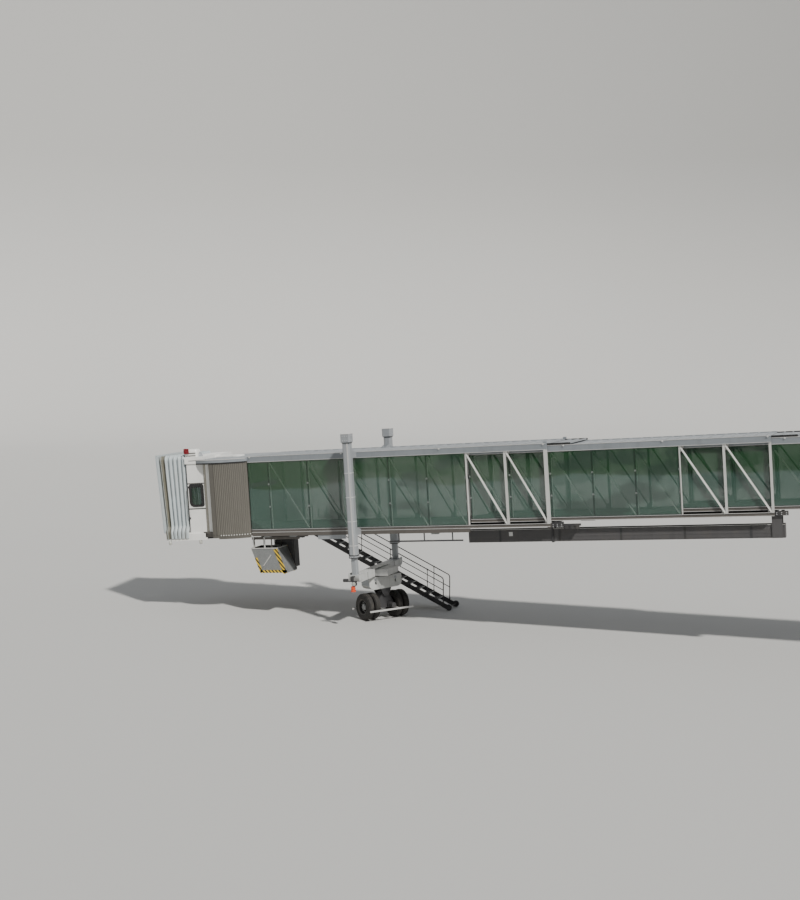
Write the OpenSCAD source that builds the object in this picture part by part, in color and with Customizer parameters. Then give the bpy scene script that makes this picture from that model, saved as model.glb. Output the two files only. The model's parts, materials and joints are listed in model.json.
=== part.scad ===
// Glass-walled boarding bridge with three telescoping tunnels.
// Origin: centre of the underside of the terminal column's base plate, on the ground.
// +Z is up, the tunnels run out along -X, and -Y is the side that the photograph shows.

/* [Stance] */
// Fall of the tunnels towards the aircraft, degrees
slope = 3.9; // [0:0.1:5]
// Turn of the cab about its round end, degrees
cab_turn = 10; // [-30:1:45]
// Turn of the drive wheels from straight ahead, degrees
steer = -33; // [-60:1:60]

/* [Walkway] */
// Height of the floor at the terminal end
floor_height = 5540; // [4500:10:6500]
// Distance from the terminal column's axis to the pitch hinge
hinge_reach = 2300; // [2200:10:2600]
// Distance between wall posts
bay = 1500; // [1300:10:1600]
// Bays in the two inner tunnels
bays = 7; // [6:1:8]
// Bays at the terminal end of an outer tunnel that have no glass
open_bays = 2; // [1:1:3]
// Distance between wall posts beside the lift columns
wide_bay = 1660; // [1500:10:1800]
// Width of the outermost tunnel
outer_width = 2970; // [2800:10:3200]
// Step in from one tunnel's side to the next
side_step = 150; // [120:5:180]
// Top of the outermost tunnel above its own datum
outer_top = 2960; // [2800:10:3100]
// Step down from one tunnel's roof to the next
top_step = 85; // [80:5:110]
// Step up from one tunnel's underside to the next
bottom_step = 190; // [180:5:220]

/* [Walls] */
// Thickness of the wall frames
frame_t = 78; // [60:1:90]
// Width of a wall post
post_w = 80; // [60:2:120]
// Width of a wall diagonal
brace_w = 56; // [40:2:80]
// Thickness of the glass
glass_t = 20; // [12:1:24]
// Height of the roof edge beams
roof_beam = 230; // [180:5:280]
// Height of the bottom chords
chord_h = 125; // [100:5:150]
// Gap between panes
pane_gap = 14; // [8:1:30]

/* [Lift] */
// Distance of the lift columns from the pitch hinge
lift_u = 22600; // [21500:50:23500]
// Distance from the centre line to each lift column
lift_y = 2015; // [1900:5:2200]
// Width of an outer lift column
column_w = 300; // [260:5:360]
// Wall of the lift columns
column_t = 12; // [8:1:20]
// Width of an inner lift column
inner_w = 210; // [160:5:240]
// Length of an inner lift column
inner_len = 3620; // [3500:10:3800]
// Height of the cross box between the lift columns
box_h = 280; // [240:10:320]

/* [Drive] */
// Radius of a tyre
tyre_r = 515; // [450:5:600]
// Width of a tyre
tyre_w = 235; // [200:5:300]
// Gap between the two tyres of a pair
tyre_gap = 60; // [40:5:90]
// Distance from the drive's middle to each pair of tyres
pair_y = 670; // [640:10:900]
// Distance of the drive's middle from the lift columns, towards the terminal
drive_shift = 180; // [0:10:250]
// Height of the rocking pin above the ground
pin_up = 1000; // [960:10:1100]
// Length of the steered beam over the wheels
beam_len = 1500; // [1300:10:1700]
// Width of the steered beam
beam_wide = 560; // [480:10:600]
// Height of the steered beam
beam_h = 480; // [400:10:520]

/* [Cab] */
// Distance of the cab's turning axis from the pitch hinge
cab_u = 28350; // [28000:50:28600]
// Radius of the round end
round_r = 1950; // [1900:10:2100]
// Half the width of the cab
cab_half = 1600; // [1500:10:1700]
// Cab side wall from and to, measured from the turning axis
cab_a0 = 870; // [800:10:1000]
cab_a1 = 1570; // [1400:10:1700]
// Front of the cab floor
cab_front = 2500; // [2300:10:2700]
// Lean of the canopy's front, from its foot to its top
canopy_lean = 150; // [0:10:200]
// Top of the canopy
canopy_top = 3190; // [3050:10:3250]
// Folds in the canopy
folds = 6; // [4:1:8]

/* [Stair] */
// Distance of the stair's top hinge from the pitch hinge
stair_u = 26300; // [25500:50:26500]
// Level of the stair's landing above the tunnel's datum
landing_z = -430; // [-600:10:-300]
// Length of the stair between its hinge and its wheels
stair_run = 6560; // [6000:10:7000]
// Steps in the stair
steps = 14; // [10:1:16]
// Width of the stair
stair_w = 800; // [700:10:900]
// Height of the stair's handrails, square to the flight
rail_h = 940; // [850:10:1000]

/* [Rotunda] */
// Height of the rotunda's room
room_h = 2480; // [2400:10:2700]
// Radius of the rotunda's floor
rotunda_r = 1990; // [1950:10:2000]
// Radius of the terminal column's tube
tube_r = 450; // [420:5:450]

/* [Hidden] */
$fn = 96;
pivot_z = 2 * bottom_step + 80;
half_c = outer_width / 2;
half_b = half_c - side_step;
half_a = half_b - side_step;
top_b = outer_top - top_step;
top_a = top_b - top_step;
bot_b = bottom_step;
bot_a = 2 * bottom_step;
a_start = 150;
b_start = 7600;
c_start = 15250;
long_bay_at = 4;
c_end = 27100;
round_top = 2800;
round_low = -130;
pin_u = lift_u - drive_shift;
pin_w = pivot_z + (pin_up - floor_height + pin_u * sin(slope)) / cos(slope);
beam_low = 180;
ring_h = 50;
box_low = pin_w + beam_low + beam_h + ring_h;
box_top = box_low + box_h;
inner_low = box_low + 40;
foot_r = 125;
cover_len = 850;
shoulder_z = floor_height - 700;
basket_near = -1280;
basket_far = -420;
basket_t = 10;
fit = 0.4;
stair_y0 = 2250;

function c_posts() = concat([for (i = [0:long_bay_at]) c_start + i * bay],
  [for (i = [1:3]) c_start + long_bay_at * bay + i * wide_bay]);
function ab_posts(start) = [for (i = [0:bays]) start + i * bay];

// places children, drawn in the tunnels' own frame, on the slope
module on_slope() {
  translate([-hinge_reach, 0, floor_height])
    rotate([0, -slope, 0])
      translate([0, 0, -pivot_z])
        children();
}

// places children at a distance out from the pitch hinge
module at_u(u) {
  translate([-u, 0, 0]) children();
}

module both_sides() {
  children();
  mirror([0, 1, 0]) children();
}

// block from u0 to u1 along the tunnel, y0 to y1, z0 to z1
module block(u0, u1, y0, y1, z0, z1) {
  translate([-u1, y0, z0]) cube([u1 - u0, y1 - y0, z1 - z0]);
}

// flat bar between two points of a side wall, given as [u, z]
module brace(p, q, w, y0, t) {
  run = q[0] - p[0];
  rise = q[1] - p[1];
  translate([-p[0], y0, p[1]])
    rotate([0, atan2(rise, run), 0])
      translate([-norm([run, rise]), 0, -w / 2])
        cube([norm([run, rise]), t, w]);
}

// one side of a tunnel on the -Y side: chords, posts and falling diagonals
module side_frame(posts, half, low, top) {
  y0 = -half + glass_t + fit;
  first = posts[0];
  last = posts[len(posts) - 1];
  z0 = low + chord_h;
  z1 = top - roof_beam;
  union() {
    block(first - post_w / 2, last + post_w / 2, -half, y0 + frame_t, z1, top);
    block(first - post_w / 2, last + post_w / 2, -half, y0 + frame_t, low, z0);
    for (u = posts) block(u - post_w / 2, u + post_w / 2, y0, y0 + frame_t, z0 - 1, z1 + 1);
    for (i = [0:len(posts) - 2])
      brace([posts[i] + post_w / 2 - 10, z0 - 10], [posts[i + 1] - post_w / 2 + 10, z1 + 10],
        brace_w, y0 + 10, frame_t - 20);
  }
}

// panes outside the wall frame, from one post number to another
module panes(posts, from, to, half, low, top) {
  for (i = [from:to - 1])
    block(posts[i] + pane_gap / 2, posts[i + 1] - pane_gap / 2,
      -half, -half + glass_t, low + chord_h + 3, top - roof_beam - 3);
}

// deck on cross members between a tunnel's side frames
module deck(posts, half, low, level) {
  inner = half - glass_t - fit - frame_t;
  last = posts[len(posts) - 1];
  union() {
    block(posts[0] - post_w / 2, last + post_w / 2, -inner, inner, low + level - 40, low + level);
    for (u = posts) block(u - 40, u + 40, -inner, inner, low, low + level - 39);
    both_sides() block(posts[0] - post_w / 2, last + post_w / 2, -inner, -inner + 12, low, low + level - 39);
  }
}

// plate that covers the gap over the next tunnel's roof
module roof_cover(start, half, top) {
  block(start - cover_len, start + 60, -half, half, top - top_step + 22, top - top_step + 34);
  block(start - cover_len, start - cover_len + 12, -half, half, top - top_step + 22, top - 10);
  for (u = [start - 560, start - 280, start + 20]) block(u, u + 12, -half, half, top - top_step + 33, top - 14);
}

// thin roof sheet with cross ribs, set down between the roof edge beams
module roof(posts, half, top) {
  inner = half - glass_t - fit - frame_t;
  last = posts[len(posts) - 1];
  union() {
    block(posts[0] - post_w / 2, last + post_w / 2, -inner, inner, top - 40, top - 28);
    for (i = [0:len(posts) - 2], k = [0:3])
      block(posts[i] + (k + 0.5) * (posts[i + 1] - posts[i]) / 4 - 25,
        posts[i] + (k + 0.5) * (posts[i + 1] - posts[i]) / 4 + 25, -inner, inner, top - 29, top - 4);
  }
}

// block with a roller under the next tunnel's chord
module roller_block(u, y, z_top, low) {
  translate([-u, y, 0]) {
    difference() {
      translate([0, -60, low]) cube([430, 120, z_top - low - 45]);
      translate([170, -35, low + 20]) cube([180, 70, z_top - low]);
    }
    translate([260, 0, z_top - 75 - fit]) rotate([90, 0, 0]) cylinder(r = 75, h = 60, center = true);
    translate([260, 0, z_top - 75 - fit]) rotate([90, 0, 0]) cylinder(r = 20, h = 118, center = true);
  }
}

module column_gussets() {
  for (a = [0:45:315]) rotate(a)
    translate([0, 12, 0]) rotate([90, 0, 0])
      linear_extrude(24)
      polygon([[tube_r - 5, 50], [800, 50], [800, 90], [tube_r + 50, 650], [tube_r - 5, 650]]);
}

module terminal_column() {
  color("LightSlateGray")
    difference() {
      union() {
        cylinder(r = 850, h = 50);
        translate([0, 0, 49]) cylinder(r = tube_r, h = floor_height - 500);
        column_gussets();
        translate([0, 0, shoulder_z - 60]) cylinder(r = 560, h = 60);
        translate([0, 0, floor_height - 510]) cylinder(r = 700, h = 60);
      }
      translate([0, 0, 60]) cylinder(r = tube_r - 20, h = floor_height - 520);
      for (a = [15:30:345]) rotate(a) translate([750, 0, -1]) cylinder(r = 21, h = 52);
    }
}

module rotunda_floor() {
  color("DarkGray")
    difference() {
      union() {
        translate([0, 0, floor_height - 60]) cylinder(r = rotunda_r, h = 60);
        translate([0, 0, floor_height - 90]) cylinder(r = rotunda_r + 68, h = 31);
        translate([0, 0, floor_height - 250])
          difference() {
            cylinder(r = rotunda_r - 90, h = 191);
            translate([0, 0, -1]) cylinder(r = rotunda_r - 130, h = 193);
          }
        for (a = [0:45:315]) rotate(a)
          translate([0, 0, floor_height - 60]) rotate([90, 0, 0]) linear_extrude(80, center = true)
            polygon([[tube_r - 40, -389], [tube_r + 160, -389], [rotunda_r - 120, -190], [rotunda_r - 120, 1],
              [tube_r - 40, 1]]);
        translate([0, 0, floor_height - 450]) cylinder(r = tube_r - 30, h = 391);
      }
      translate([1700, -2500, floor_height - 600]) cube([500, 5000, 700]);
    }
}

module rotunda_roof() {
  color("LightSlateGray")
    translate([0, 0, floor_height + room_h]) rotate_extrude()
      polygon([[0, 245], [2080, 70], [2080, 0], [2240, 0], [2240, 130], [0, 260]]);
}

// slatted curtain: overlapping flat slats that follow an arc
module slats(r, a0, a1, z0, z1, pitch) {
  n = ceil(abs(a1 - a0) * 3.14159 * r / 180 / pitch);
  translate([0, 0, z0])
    linear_extrude(z1 - z0)
      for (i = [0:n - 1])
        rotate(a0 + (i + 0.5) * (a1 - a0) / n)
          translate([r + (i % 2 == 0 ? 0 : 6), 0])
            square([12, abs(a1 - a0) * 3.14159 * r / 180 / n + 8], center = true);
}

module terminal_portal() {
  z0 = floor_height - 90;
  z1 = floor_height + room_h;
  color("Gainsboro")
    union() {
      both_sides() block(-2300, -1700, 1000, 1150, z0, z1);
      block(-2300, -1700, -1001, 1001, z1 - 260, z1);
      block(-2300, -1700, -1001, 1001, z0, floor_height);
    }
}

module rotunda_curtains() {
  color("Tan")
    both_sides() slats(rotunda_r + 50, 36, 148, floor_height - 59, floor_height + room_h, 110);
}

module swing_frame() {
  z1 = floor_height + room_h - 20;
  color("LightSlateGray")
    difference() {
      union() {
        both_sides() block(2075, 2215, -1300, -1080, shoulder_z, z1);
        both_sides() block(1775, 2076, -1130, -1090, floor_height - 20, z1);
        block(2075, 2215, -1081, 1081, z1 - 190, z1);
        block(2075, 2215, -1081, 1081, shoulder_z, floor_height + 13);
        block(2100, 2500, -1050, 1050, floor_height + 12, floor_height + 20);
        translate([0, 0, shoulder_z]) cylinder(r = 650, h = 140);
        both_sides() block(300, 2076, -620, -420, shoulder_z, shoulder_z + 140);
        both_sides() for (y = [-1185, -1060]) {
          translate([-hinge_reach, y, floor_height]) rotate([90, 0, 0]) cylinder(r = 90, h = 30);
          block(2214, 2300, y - 30, y, floor_height - 90, floor_height + 90);
        }
        both_sides() translate([-hinge_reach, -1050, floor_height]) rotate([90, 0, 0]) cylinder(r = 30, h = 190);
        both_sides() translate([-hinge_reach, -1215, floor_height]) rotate([90, 0, 0]) cylinder(r = 45, h = 20);
      }
      translate([0, 0, shoulder_z - 1]) cylinder(r = tube_r + 5, h = 142);
    }
}

module tunnel_a_frame() {
  difference() {
    union() {
      side_frame(ab_posts(a_start + 40), half_a, bot_a, top_a);
      translate([0, -half_a + 12, pivot_z]) rotate([-90, 0, 0]) cylinder(r = 80, h = frame_t - 6);
      block(0, a_start + 60, -half_a + 12, -half_a + 6 + frame_t, pivot_z - 70, pivot_z + 45);
    }
    translate([0, -half_a - 20, pivot_z]) rotate([-90, 0, 0]) cylinder(r = 30 + fit, h = 200);
  }
}

module tunnel_a_frames() {
  color("SlateGray") on_slope() both_sides() tunnel_a_frame();
}

module tunnel_a_glass() {
  color("DarkSeaGreen")
    on_slope() both_sides() panes(ab_posts(a_start + 40), 0, bays, half_a, bot_a, top_a);
}

module tunnel_a_floor() {
  last = a_start + 40 + bays * bay;
  inner = half_a - glass_t - fit - frame_t;
  color("Gray")
    on_slope() union() {
      deck(ab_posts(a_start + 40), half_a, bot_a, 80);
      translate([-last - 30, inner - 60, 0]) rotate([90, 0, 0]) linear_extrude(2 * inner - 120)
        polygon([[0, bot_a + 80], [0, bot_a + 50], [-1060, bottom_step + 108], [-1090, bottom_step + 118]]);
    }
}

module tunnel_a_roof() {
  color("SlateGray") on_slope() roof(ab_posts(a_start + 40), half_a, top_a);
}

module tunnel_b_frames() {
  color("SlateGray") on_slope() both_sides() side_frame(ab_posts(b_start + 40), half_b, bot_b, top_b);
}

module tunnel_b_glass() {
  color("DarkSeaGreen")
    on_slope() both_sides() panes(ab_posts(b_start + 40), open_bays, bays, half_b, bot_b, top_b);
}

module tunnel_b_floor() {
  last = b_start + 40 + bays * bay;
  inner = half_b - glass_t - fit - frame_t;
  color("Gray")
    on_slope() union() {
      deck(ab_posts(b_start + 40), half_b, bot_b, 80);
      translate([-last - 30, inner - 60, 0]) rotate([90, 0, 0]) linear_extrude(2 * inner - 120)
        polygon([[0, bot_b + 80], [0, bot_b + 50], [-1060, 118], [-1090, 128]]);
    }
}

module tunnel_b_roof() {
  color("SlateGray") on_slope() union() {
    roof(ab_posts(b_start + 40), half_b, top_b);
    roof_cover(b_start, half_a, top_b);
  }
}

module tunnel_b_rollers() {
  color("DimGray")
    on_slope() both_sides() roller_block(b_start, -half_a + 60, bot_a, bot_b);
}

// trough that carries the cables along under the tunnels, hung from tunnel B's end
module cable_tray() {
  color("DimGray")
    on_slope() union() {
      difference() {
        block(7300, 18400, -1075, -725, -570, -110);
        block(7310, 18390, -1067, -733, -562, -109);
      }
      for (y = [-1115, -726]) block(7380, 7720, y, y + 41, -570, 190);
      block(7380, 7720, -1115, -685, 150, 190);
    }
}

module tunnel_c_frame() {
  side_frame(c_posts(), half_c, 0, outer_top);
  block(c_posts()[7] - 1, c_end, -half_c, -half_c + glass_t + fit + frame_t, outer_top - roof_beam, outer_top);
  block(c_posts()[open_bays] - 40, c_end, -half_c, -half_c + glass_t + fit + frame_t, -140, 1);
  block(c_posts()[7] - 1, c_end, -half_c, -half_c + glass_t + fit + frame_t, -1, chord_h);
  block(c_end - 60, c_end, -half_c + glass_t + fit, -half_c + glass_t + fit + frame_t, 0, outer_top - 1);
  block(c_start - 60, c_start + 60, -half_c - 4, -half_c + glass_t + frame_t, -30, outer_top + 60);
}

module tunnel_c_frames() {
  color("SlateGray") on_slope() both_sides() tunnel_c_frame();
}

module c_panes() {
  panes(concat(c_posts(), [c_end + pane_gap / 2 - 10]), open_bays, 8, half_c, 0, outer_top);
}

module tunnel_c_glass() {
  color("DarkSeaGreen")
    on_slope() {
      c_panes();
      mirror([0, 1, 0]) panes(c_posts(), open_bays, 7, half_c, 0, outer_top);
    }
}

module tunnel_c_floor() {
  inner = half_c - glass_t - fit - frame_t;
  color("Gray")
    on_slope() union() {
      deck(concat(c_posts(), [c_end - 40]), half_c, 0, 100);
      block(lift_u - 100, lift_u + 100, -inner, inner, -90, 61);
    }
}

module tunnel_c_roof() {
  color("SlateGray") on_slope() union() {
    roof(concat(c_posts(), [c_end - 40]), half_c, outer_top);
    roof_cover(c_start, half_b, outer_top);
  }
}

module tunnel_c_rollers() {
  color("DimGray")
    on_slope() both_sides() roller_block(c_start - 40, -half_b + 60, bot_b, -30);
}

module service_door() {
  u0 = c_posts()[7] + post_w / 2 + fit;
  color("WhiteSmoke")
    on_slope() block(u0, c_end - 60 - fit, half_c - 70, half_c - 20, chord_h + 4, outer_top - roof_beam - 4);
}

module lift_columns() {
  color("LightSlateGray")
    on_slope() both_sides() translate([-lift_u, -lift_y, 0]) union() {
      difference() {
        union() {
          translate([0, 0, -900]) chamfered(column_w, 55, 4250);
          translate([0, 0, -940]) chamfered(column_w + 30, 60, 90);
          translate([0, 0, 3350]) chamfered(column_w + 70, 40, 320);
        }
        translate([0, 0, -850]) chamfered(column_w - 2 * column_t, 45, 4190);
        translate([0, 0, -941]) chamfered(inner_w + 2 * fit, 25, 100);
      }
      for (z = [-130, outer_top - 210])
        translate([-110, column_w / 2 - 8, z]) cube([220, lift_y - half_c - column_w / 2 + 8, 170]);
    }
}

module chamfered(w, c, h) {
  linear_extrude(h)
    polygon([[-w / 2 + c, -w / 2], [w / 2 - c, -w / 2], [w / 2, -w / 2 + c], [w / 2, w / 2 - c],
      [w / 2 - c, w / 2], [-w / 2 + c, w / 2], [-w / 2, w / 2 - c], [-w / 2, -w / 2 + c]]);
}

module cable_rail() {
  color("DimGray")
    on_slope() {
      union() {
        translate([-21200, -1430, -430]) rotate([0, 90, 0]) cylinder(r = 30, h = 2700);
        for (u = [18900, 20000, 21000]) block(u - 20, u + 20, -1445, -1415, -420, -140);
      }
      union() {
        for (y = [-1115, -705]) block(15220, 15280, y, y + 20, -600, 0);
        block(15220, 15280, -1115, -685, -600, -580);
      }
    }
}

// trough-sided basket hung under the aircraft end of tunnel C
module cable_basket() {
  color("Gray")
    on_slope() difference() {
      translate([0, basket_far, 0]) rotate([90, 0, 0]) linear_extrude(basket_far - basket_near)
        polygon([[-27300, -640], [-26180, -640], [-25800, -1600], [-26960, -1600]]);
      translate([0, basket_far - basket_t, 0]) rotate([90, 0, 0])
        linear_extrude(basket_far - basket_near - 2 * basket_t)
          polygon([[-27290, -630], [-26192, -630], [-25816, -1590], [-26950, -1590]]);
    }
}

module control_panel() {
  color("DimGray") on_slope() block(25860, 26680, -410, -20, -1500, -420);
}

module under_beams() {
  color("DimGray")
    on_slope() {
      for (side = [1, -1]) union() {
        wall = side > 0 ? basket_near + basket_t : basket_far - basket_t;
        y = wall + side * 40;
        block(25200, 27250, y - 30, y + 30, -300, -200);
        for (u = [25500, 26800]) block(u - 40, u + 40, y - 20, y + 20, -201, 60);
        for (u = [26400, 27150])
          block(u - 20, u + 20, min(wall, wall + side * 20), max(wall, wall + side * 20), -760, -250);
      }
      for (u = [26000, 26500]) block(u - 20, u + 20, -240, -200, -420, 60);
    }
}

module round_floor() {
  color("Gray")
    on_slope() at_u(cab_u) union() {
      difference() {
        translate([0, 0, 40]) cylinder(r = round_r - 60, h = 60);
        translate([cab_u - c_end, -3000, 0]) cube([2000, 6000, 200]);
      }
      difference() {
        translate([0, 0, -90]) cylinder(r = round_r - 100, h = 131);
        translate([0, 0, -91]) cylinder(r = round_r - 150, h = 132);
        translate([cab_u - c_end, -3000, -200]) cube([2000, 6000, 400]);
      }
      translate([cab_u - c_end - 60, -half_c + 100, -90]) cube([60, 2 * half_c - 200, 150]);
      translate([0, 0, -90]) cylinder(r = 300, h = 131);
      for (a = [-60, 0, 60]) rotate(a) translate([0, -50, -90]) cube([cab_u - c_end, 100, 131]);
    }
}

module round_roof() {
  color("SlateGray")
    on_slope() at_u(cab_u) union() {
      difference() {
        translate([0, 0, round_top]) cylinder(r = round_r + 40, h = 130);
        translate([0, 0, round_top - 1]) cylinder(r = round_r - 120, h = 110);
        translate([cab_u - c_end, -3000, round_top - 1]) cube([2000, 6000, 200]);
      }
    }
}

// angle from straight ahead at which the slatted curtains leave the cab
wide_from = 74;
// angle of the tunnel's end about the turning axis
function tunnel_angle() = atan2(half_c - 60, -(cab_u - c_end));

module cab_curtains() {
  color("Tan")
    on_slope() at_u(cab_u) {
      slats(round_r, 180 + wide_from + cab_turn, 178 + tunnel_angle(), round_low, round_top, 74);
      slats(round_r, 182 - tunnel_angle(), 180 - wide_from + cab_turn, round_low, round_top, 74);
    }
}

module in_cab() {
  on_slope() at_u(cab_u) rotate(cab_turn) children();
}

module cab_floor() {
  color("Gainsboro")
    in_cab() union() {
      difference() {
        block(0, cab_front, -cab_half, cab_half, -20, 100);
        translate([0, 0, -21]) cylinder(r = round_r - 45, h = 122, $fn = 360);
      }
      both_sides() difference() {
        block(cab_a0, cab_front, -cab_half - 60, -cab_half, -110, 60);
        translate([0, 0, -111]) cylinder(r = round_r - 45, h = 172, $fn = 360);
      }
      block(cab_front, cab_front + 60, -cab_half - 60, cab_half + 60, -110, 60);
    }
}

module cab_turntable() {
  color("DimGray")
    in_cab() union() {
      translate([0, 0, -240]) cylinder(r = 300, h = 150 - fit);
      for (y = [-900, 0, 900]) block(0, cab_front - 100, y - 50, y + 50, -240, -114);
      block(0, 120, -900, 900, -240, -114);
      block(1900, cab_front - 100, -cab_half, cab_half, -115, -20);
    }
}

// window opening with two cut corners, smaller all round by the clearance given
module window_outline(clear) {
  polygon([[90 + clear, clear], [530 - clear, clear], [530 - clear, 820 - clear], [clear, 820 - clear],
    [clear, 110 + clear]]);
}

// place of the canopy's guide rods in from the cab's side, and above its datum
rod_in = 130;
rod_z = 2650;

module cab_wall() {
  difference() {
    union() {
      block(cab_a0, cab_a1, -cab_half, -cab_half + 60, 108, round_top - 8);
      block(1130, cab_a1, -cab_half, -cab_half + 60, 100, 109);
      block(cab_a0, cab_a0 + 80, -cab_half + 59, -cab_half + 120, 108, round_top - 8);
      block(cab_a1 - 160, cab_a1, -cab_half + 59, -cab_half + rod_in + 45, rod_z - 50, rod_z + 50);
      slats(1818, 180 + 60, 180 + 77, 108, round_top - 8, 74);
    }
    translate([-cab_a1 + 90, -cab_half - 1, 1130]) rotate([90, 0, 0]) mirror([0, 0, 1])
      linear_extrude(70) window_outline(0);
    translate([-cab_a1 - 1, -cab_half + rod_in, rod_z]) rotate([0, 90, 0]) cylinder(r = 25 + fit, h = 702);
  }
}

module cab_walls() {
  color("White") in_cab() both_sides() cab_wall();
}

module cab_window() {
  color("DarkSlateGray")
    in_cab() both_sides()
      translate([-cab_a1 + 90, -cab_half + 20, 1130]) rotate([90, 0, 0]) mirror([0, 0, 1])
        linear_extrude(16) window_outline(fit);
}

module cab_roof() {
  color("White")
    in_cab() union() {
      difference() {
        block(cab_a0 - 60, cab_a1 + 40, -cab_half - 40, cab_half + 40, round_top - 8, round_top + 260);
        translate([0, 0, round_top - 9]) cylinder(r = round_r + 48, h = 145);
      }
      translate([0, 0, round_top + 130]) cylinder(r = 300, h = 60);
      block(0, cab_a0 + 100, -300, 300, round_top + 136, round_top + 190);
    }
}

module cab_dome() {
  color("White")
    in_cab() translate([-cab_a1 + 380, -cab_half + 380, round_top + 261])
      difference() {
        scale(1) sphere(r = 190);
        translate([-200, -200, -400]) cube([400, 400, 400]);
      }
}

// how far the canopy's front leans out at a height
function lean_at(z) = canopy_lean * (z - 110) / (canopy_top - 110);

// side outline of a part of the canopy's front, from one distance beyond the cab's floor to another
module leaning(from, to) {
  polygon([[-cab_front - from, 110], [-cab_front - to, 110],
    [-cab_front - to - canopy_lean, canopy_top], [-cab_front - from - canopy_lean, canopy_top]]);
}

module canopy_hoop() {
  color("DimGray")
    in_cab() union() {
      difference() {
        translate([0, cab_half + 20, 0]) rotate([90, 0, 0]) linear_extrude(2 * cab_half + 40) leaning(70, 170);
        block(cab_front + 60, cab_front + 400, -cab_half + 130, cab_half - 130, 100, canopy_top - 140);
      }
      both_sides() translate([-cab_front - 120 - lean_at(rod_z), -cab_half + rod_in, rod_z]) rotate([0, 90, 0])
        cylinder(r = 25, h = cab_front + 120 + lean_at(rod_z) - 1050);
    }
}

module canopy_bellows() {
  u0 = cab_a1 + 40;
  u1 = cab_front + 70;
  p = (u1 + canopy_lean - u0) / folds;
  turns = [0:2 * folds];
  color("LightSteelBlue")
    in_cab() intersection() {
      union() {
        both_sides() translate([0, 0, 112]) linear_extrude(canopy_top - 30 - 112)
          polygon(concat([for (i = turns) [-u0 - i * p / 2, -cab_half + (i % 2 == 0 ? 60 : 0)]],
            [for (i = [2 * folds:-1:0]) [-u0 - i * p / 2, -cab_half + 40 + (i % 2 == 0 ? 60 : 0)]]));
        translate([0, cab_half, 0]) rotate([90, 0, 0]) linear_extrude(2 * cab_half)
          polygon(concat([for (i = turns) [-u0 - i * p / 2, canopy_top - 20 - (i % 2 == 0 ? 60 : 0)]],
            [for (i = [2 * folds:-1:0]) [-u0 - i * p / 2, canopy_top - 60 - (i % 2 == 0 ? 60 : 0)]]));
      }
      rotate([90, 0, 0]) linear_extrude(2 * cab_half + 100, center = true)
        polygon([[-u0 + 1, 110], [-u1, 110], [-u1 - canopy_lean, canopy_top], [-u0 + 1, canopy_top]]);
    }
}

module inner_columns() {
  color("LightSlateGray")
    on_slope() both_sides() translate([-lift_u, -lift_y, inner_low]) difference() {
      union() {
        chamfered(inner_w, 25, inner_len);
        translate([0, 0, inner_len - 140]) chamfered(column_w - 2 * column_t - 2 * fit, 46, 140);
      }
      translate([0, 0, -1]) chamfered(inner_w - 2 * column_t, 20, inner_len + 2);
    }
}

// half of the cross box's length
box_half = lift_y + inner_w / 2 + 70;

module cross_box() {
  end_r = box_h - 60;
  color("Silver")
    on_slope() difference() {
      union() {
        translate([-lift_u - 210, 0, 0]) rotate([90, 0, 90]) linear_extrude(420)
          polygon(concat([[-box_half, box_top], [box_half, box_top]],
            [for (a = [0:15:90]) [box_half - end_r + end_r * cos(a), box_low + end_r - end_r * sin(a)]],
            [for (a = [90:-15:0]) [end_r - box_half - end_r * cos(a), box_low + end_r - end_r * sin(a)]]));
        block(pin_u - 500, pin_u + 500, -560, 560, box_low, box_top - 40);
        both_sides() for (u = [lift_u - 215, lift_u + 209])
          block(u, u + 6, -lift_y - 150, -lift_y + 150, box_low + 60, box_top + 60);
      }
      both_sides() translate([-lift_u, -lift_y, inner_low]) chamfered(inner_w, 25, 1000);
    }
}

module beacon() {
  color("OrangeRed")
    on_slope() translate([-lift_u + 30, -box_half - 170, box_low - 300]) union() {
      cylinder(r = 95, h = 30);
      translate([0, 0, 29]) cylinder(r = 82, h = 150);
      translate([0, 0, 178]) cylinder(r = 60, h = 22);
    }
}

module lamps() {
  y = -box_half - 170;
  color("DimGray")
    on_slope() union() {
      block(lift_u - 190, lift_u + 330, -box_half - 200, -box_half - 140, box_low + 60, box_low + 90);
      block(lift_u - 60, lift_u + 60, -box_half - 141, -box_half, box_low + 222, box_low + 252);
      block(lift_u - 60, lift_u + 60, -box_half - 170, -box_half - 140, box_low + 61, box_low + 252);
      block(lift_u - 50, lift_u - 10, y - 20, y + 20, box_low - 100, box_low + 61);
      translate([-lift_u - 340, y, box_low + 120]) rotate([0, 90, 0]) cylinder(r = 62, h = 180);
      translate([-lift_u + 90, y + 60, box_low - 10]) rotate([90, 0, 0]) cylinder(r = 85, h = 120);
      block(lift_u - 180, lift_u - 90, y - 40, y + 30, box_low - 70, box_low + 61);
    }
}

module on_pin() {
  on_slope() translate([-pin_u, 0, pin_w]) children();
}

axle_lean = asin(cos(steer) * sin(slope));
axle_turn = atan2(sin(steer), cos(steer) * cos(slope));
axle_drop = (pin_up - tyre_r) / cos(axle_lean);

// frame of the axle: level across, on its rocking pin
module on_axle() {
  translate([-hinge_reach - pin_u * cos(slope) - (pin_w - pivot_z) * sin(slope), 0, pin_up])
    rotate([0, -axle_lean, axle_turn]) children();
}

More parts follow.
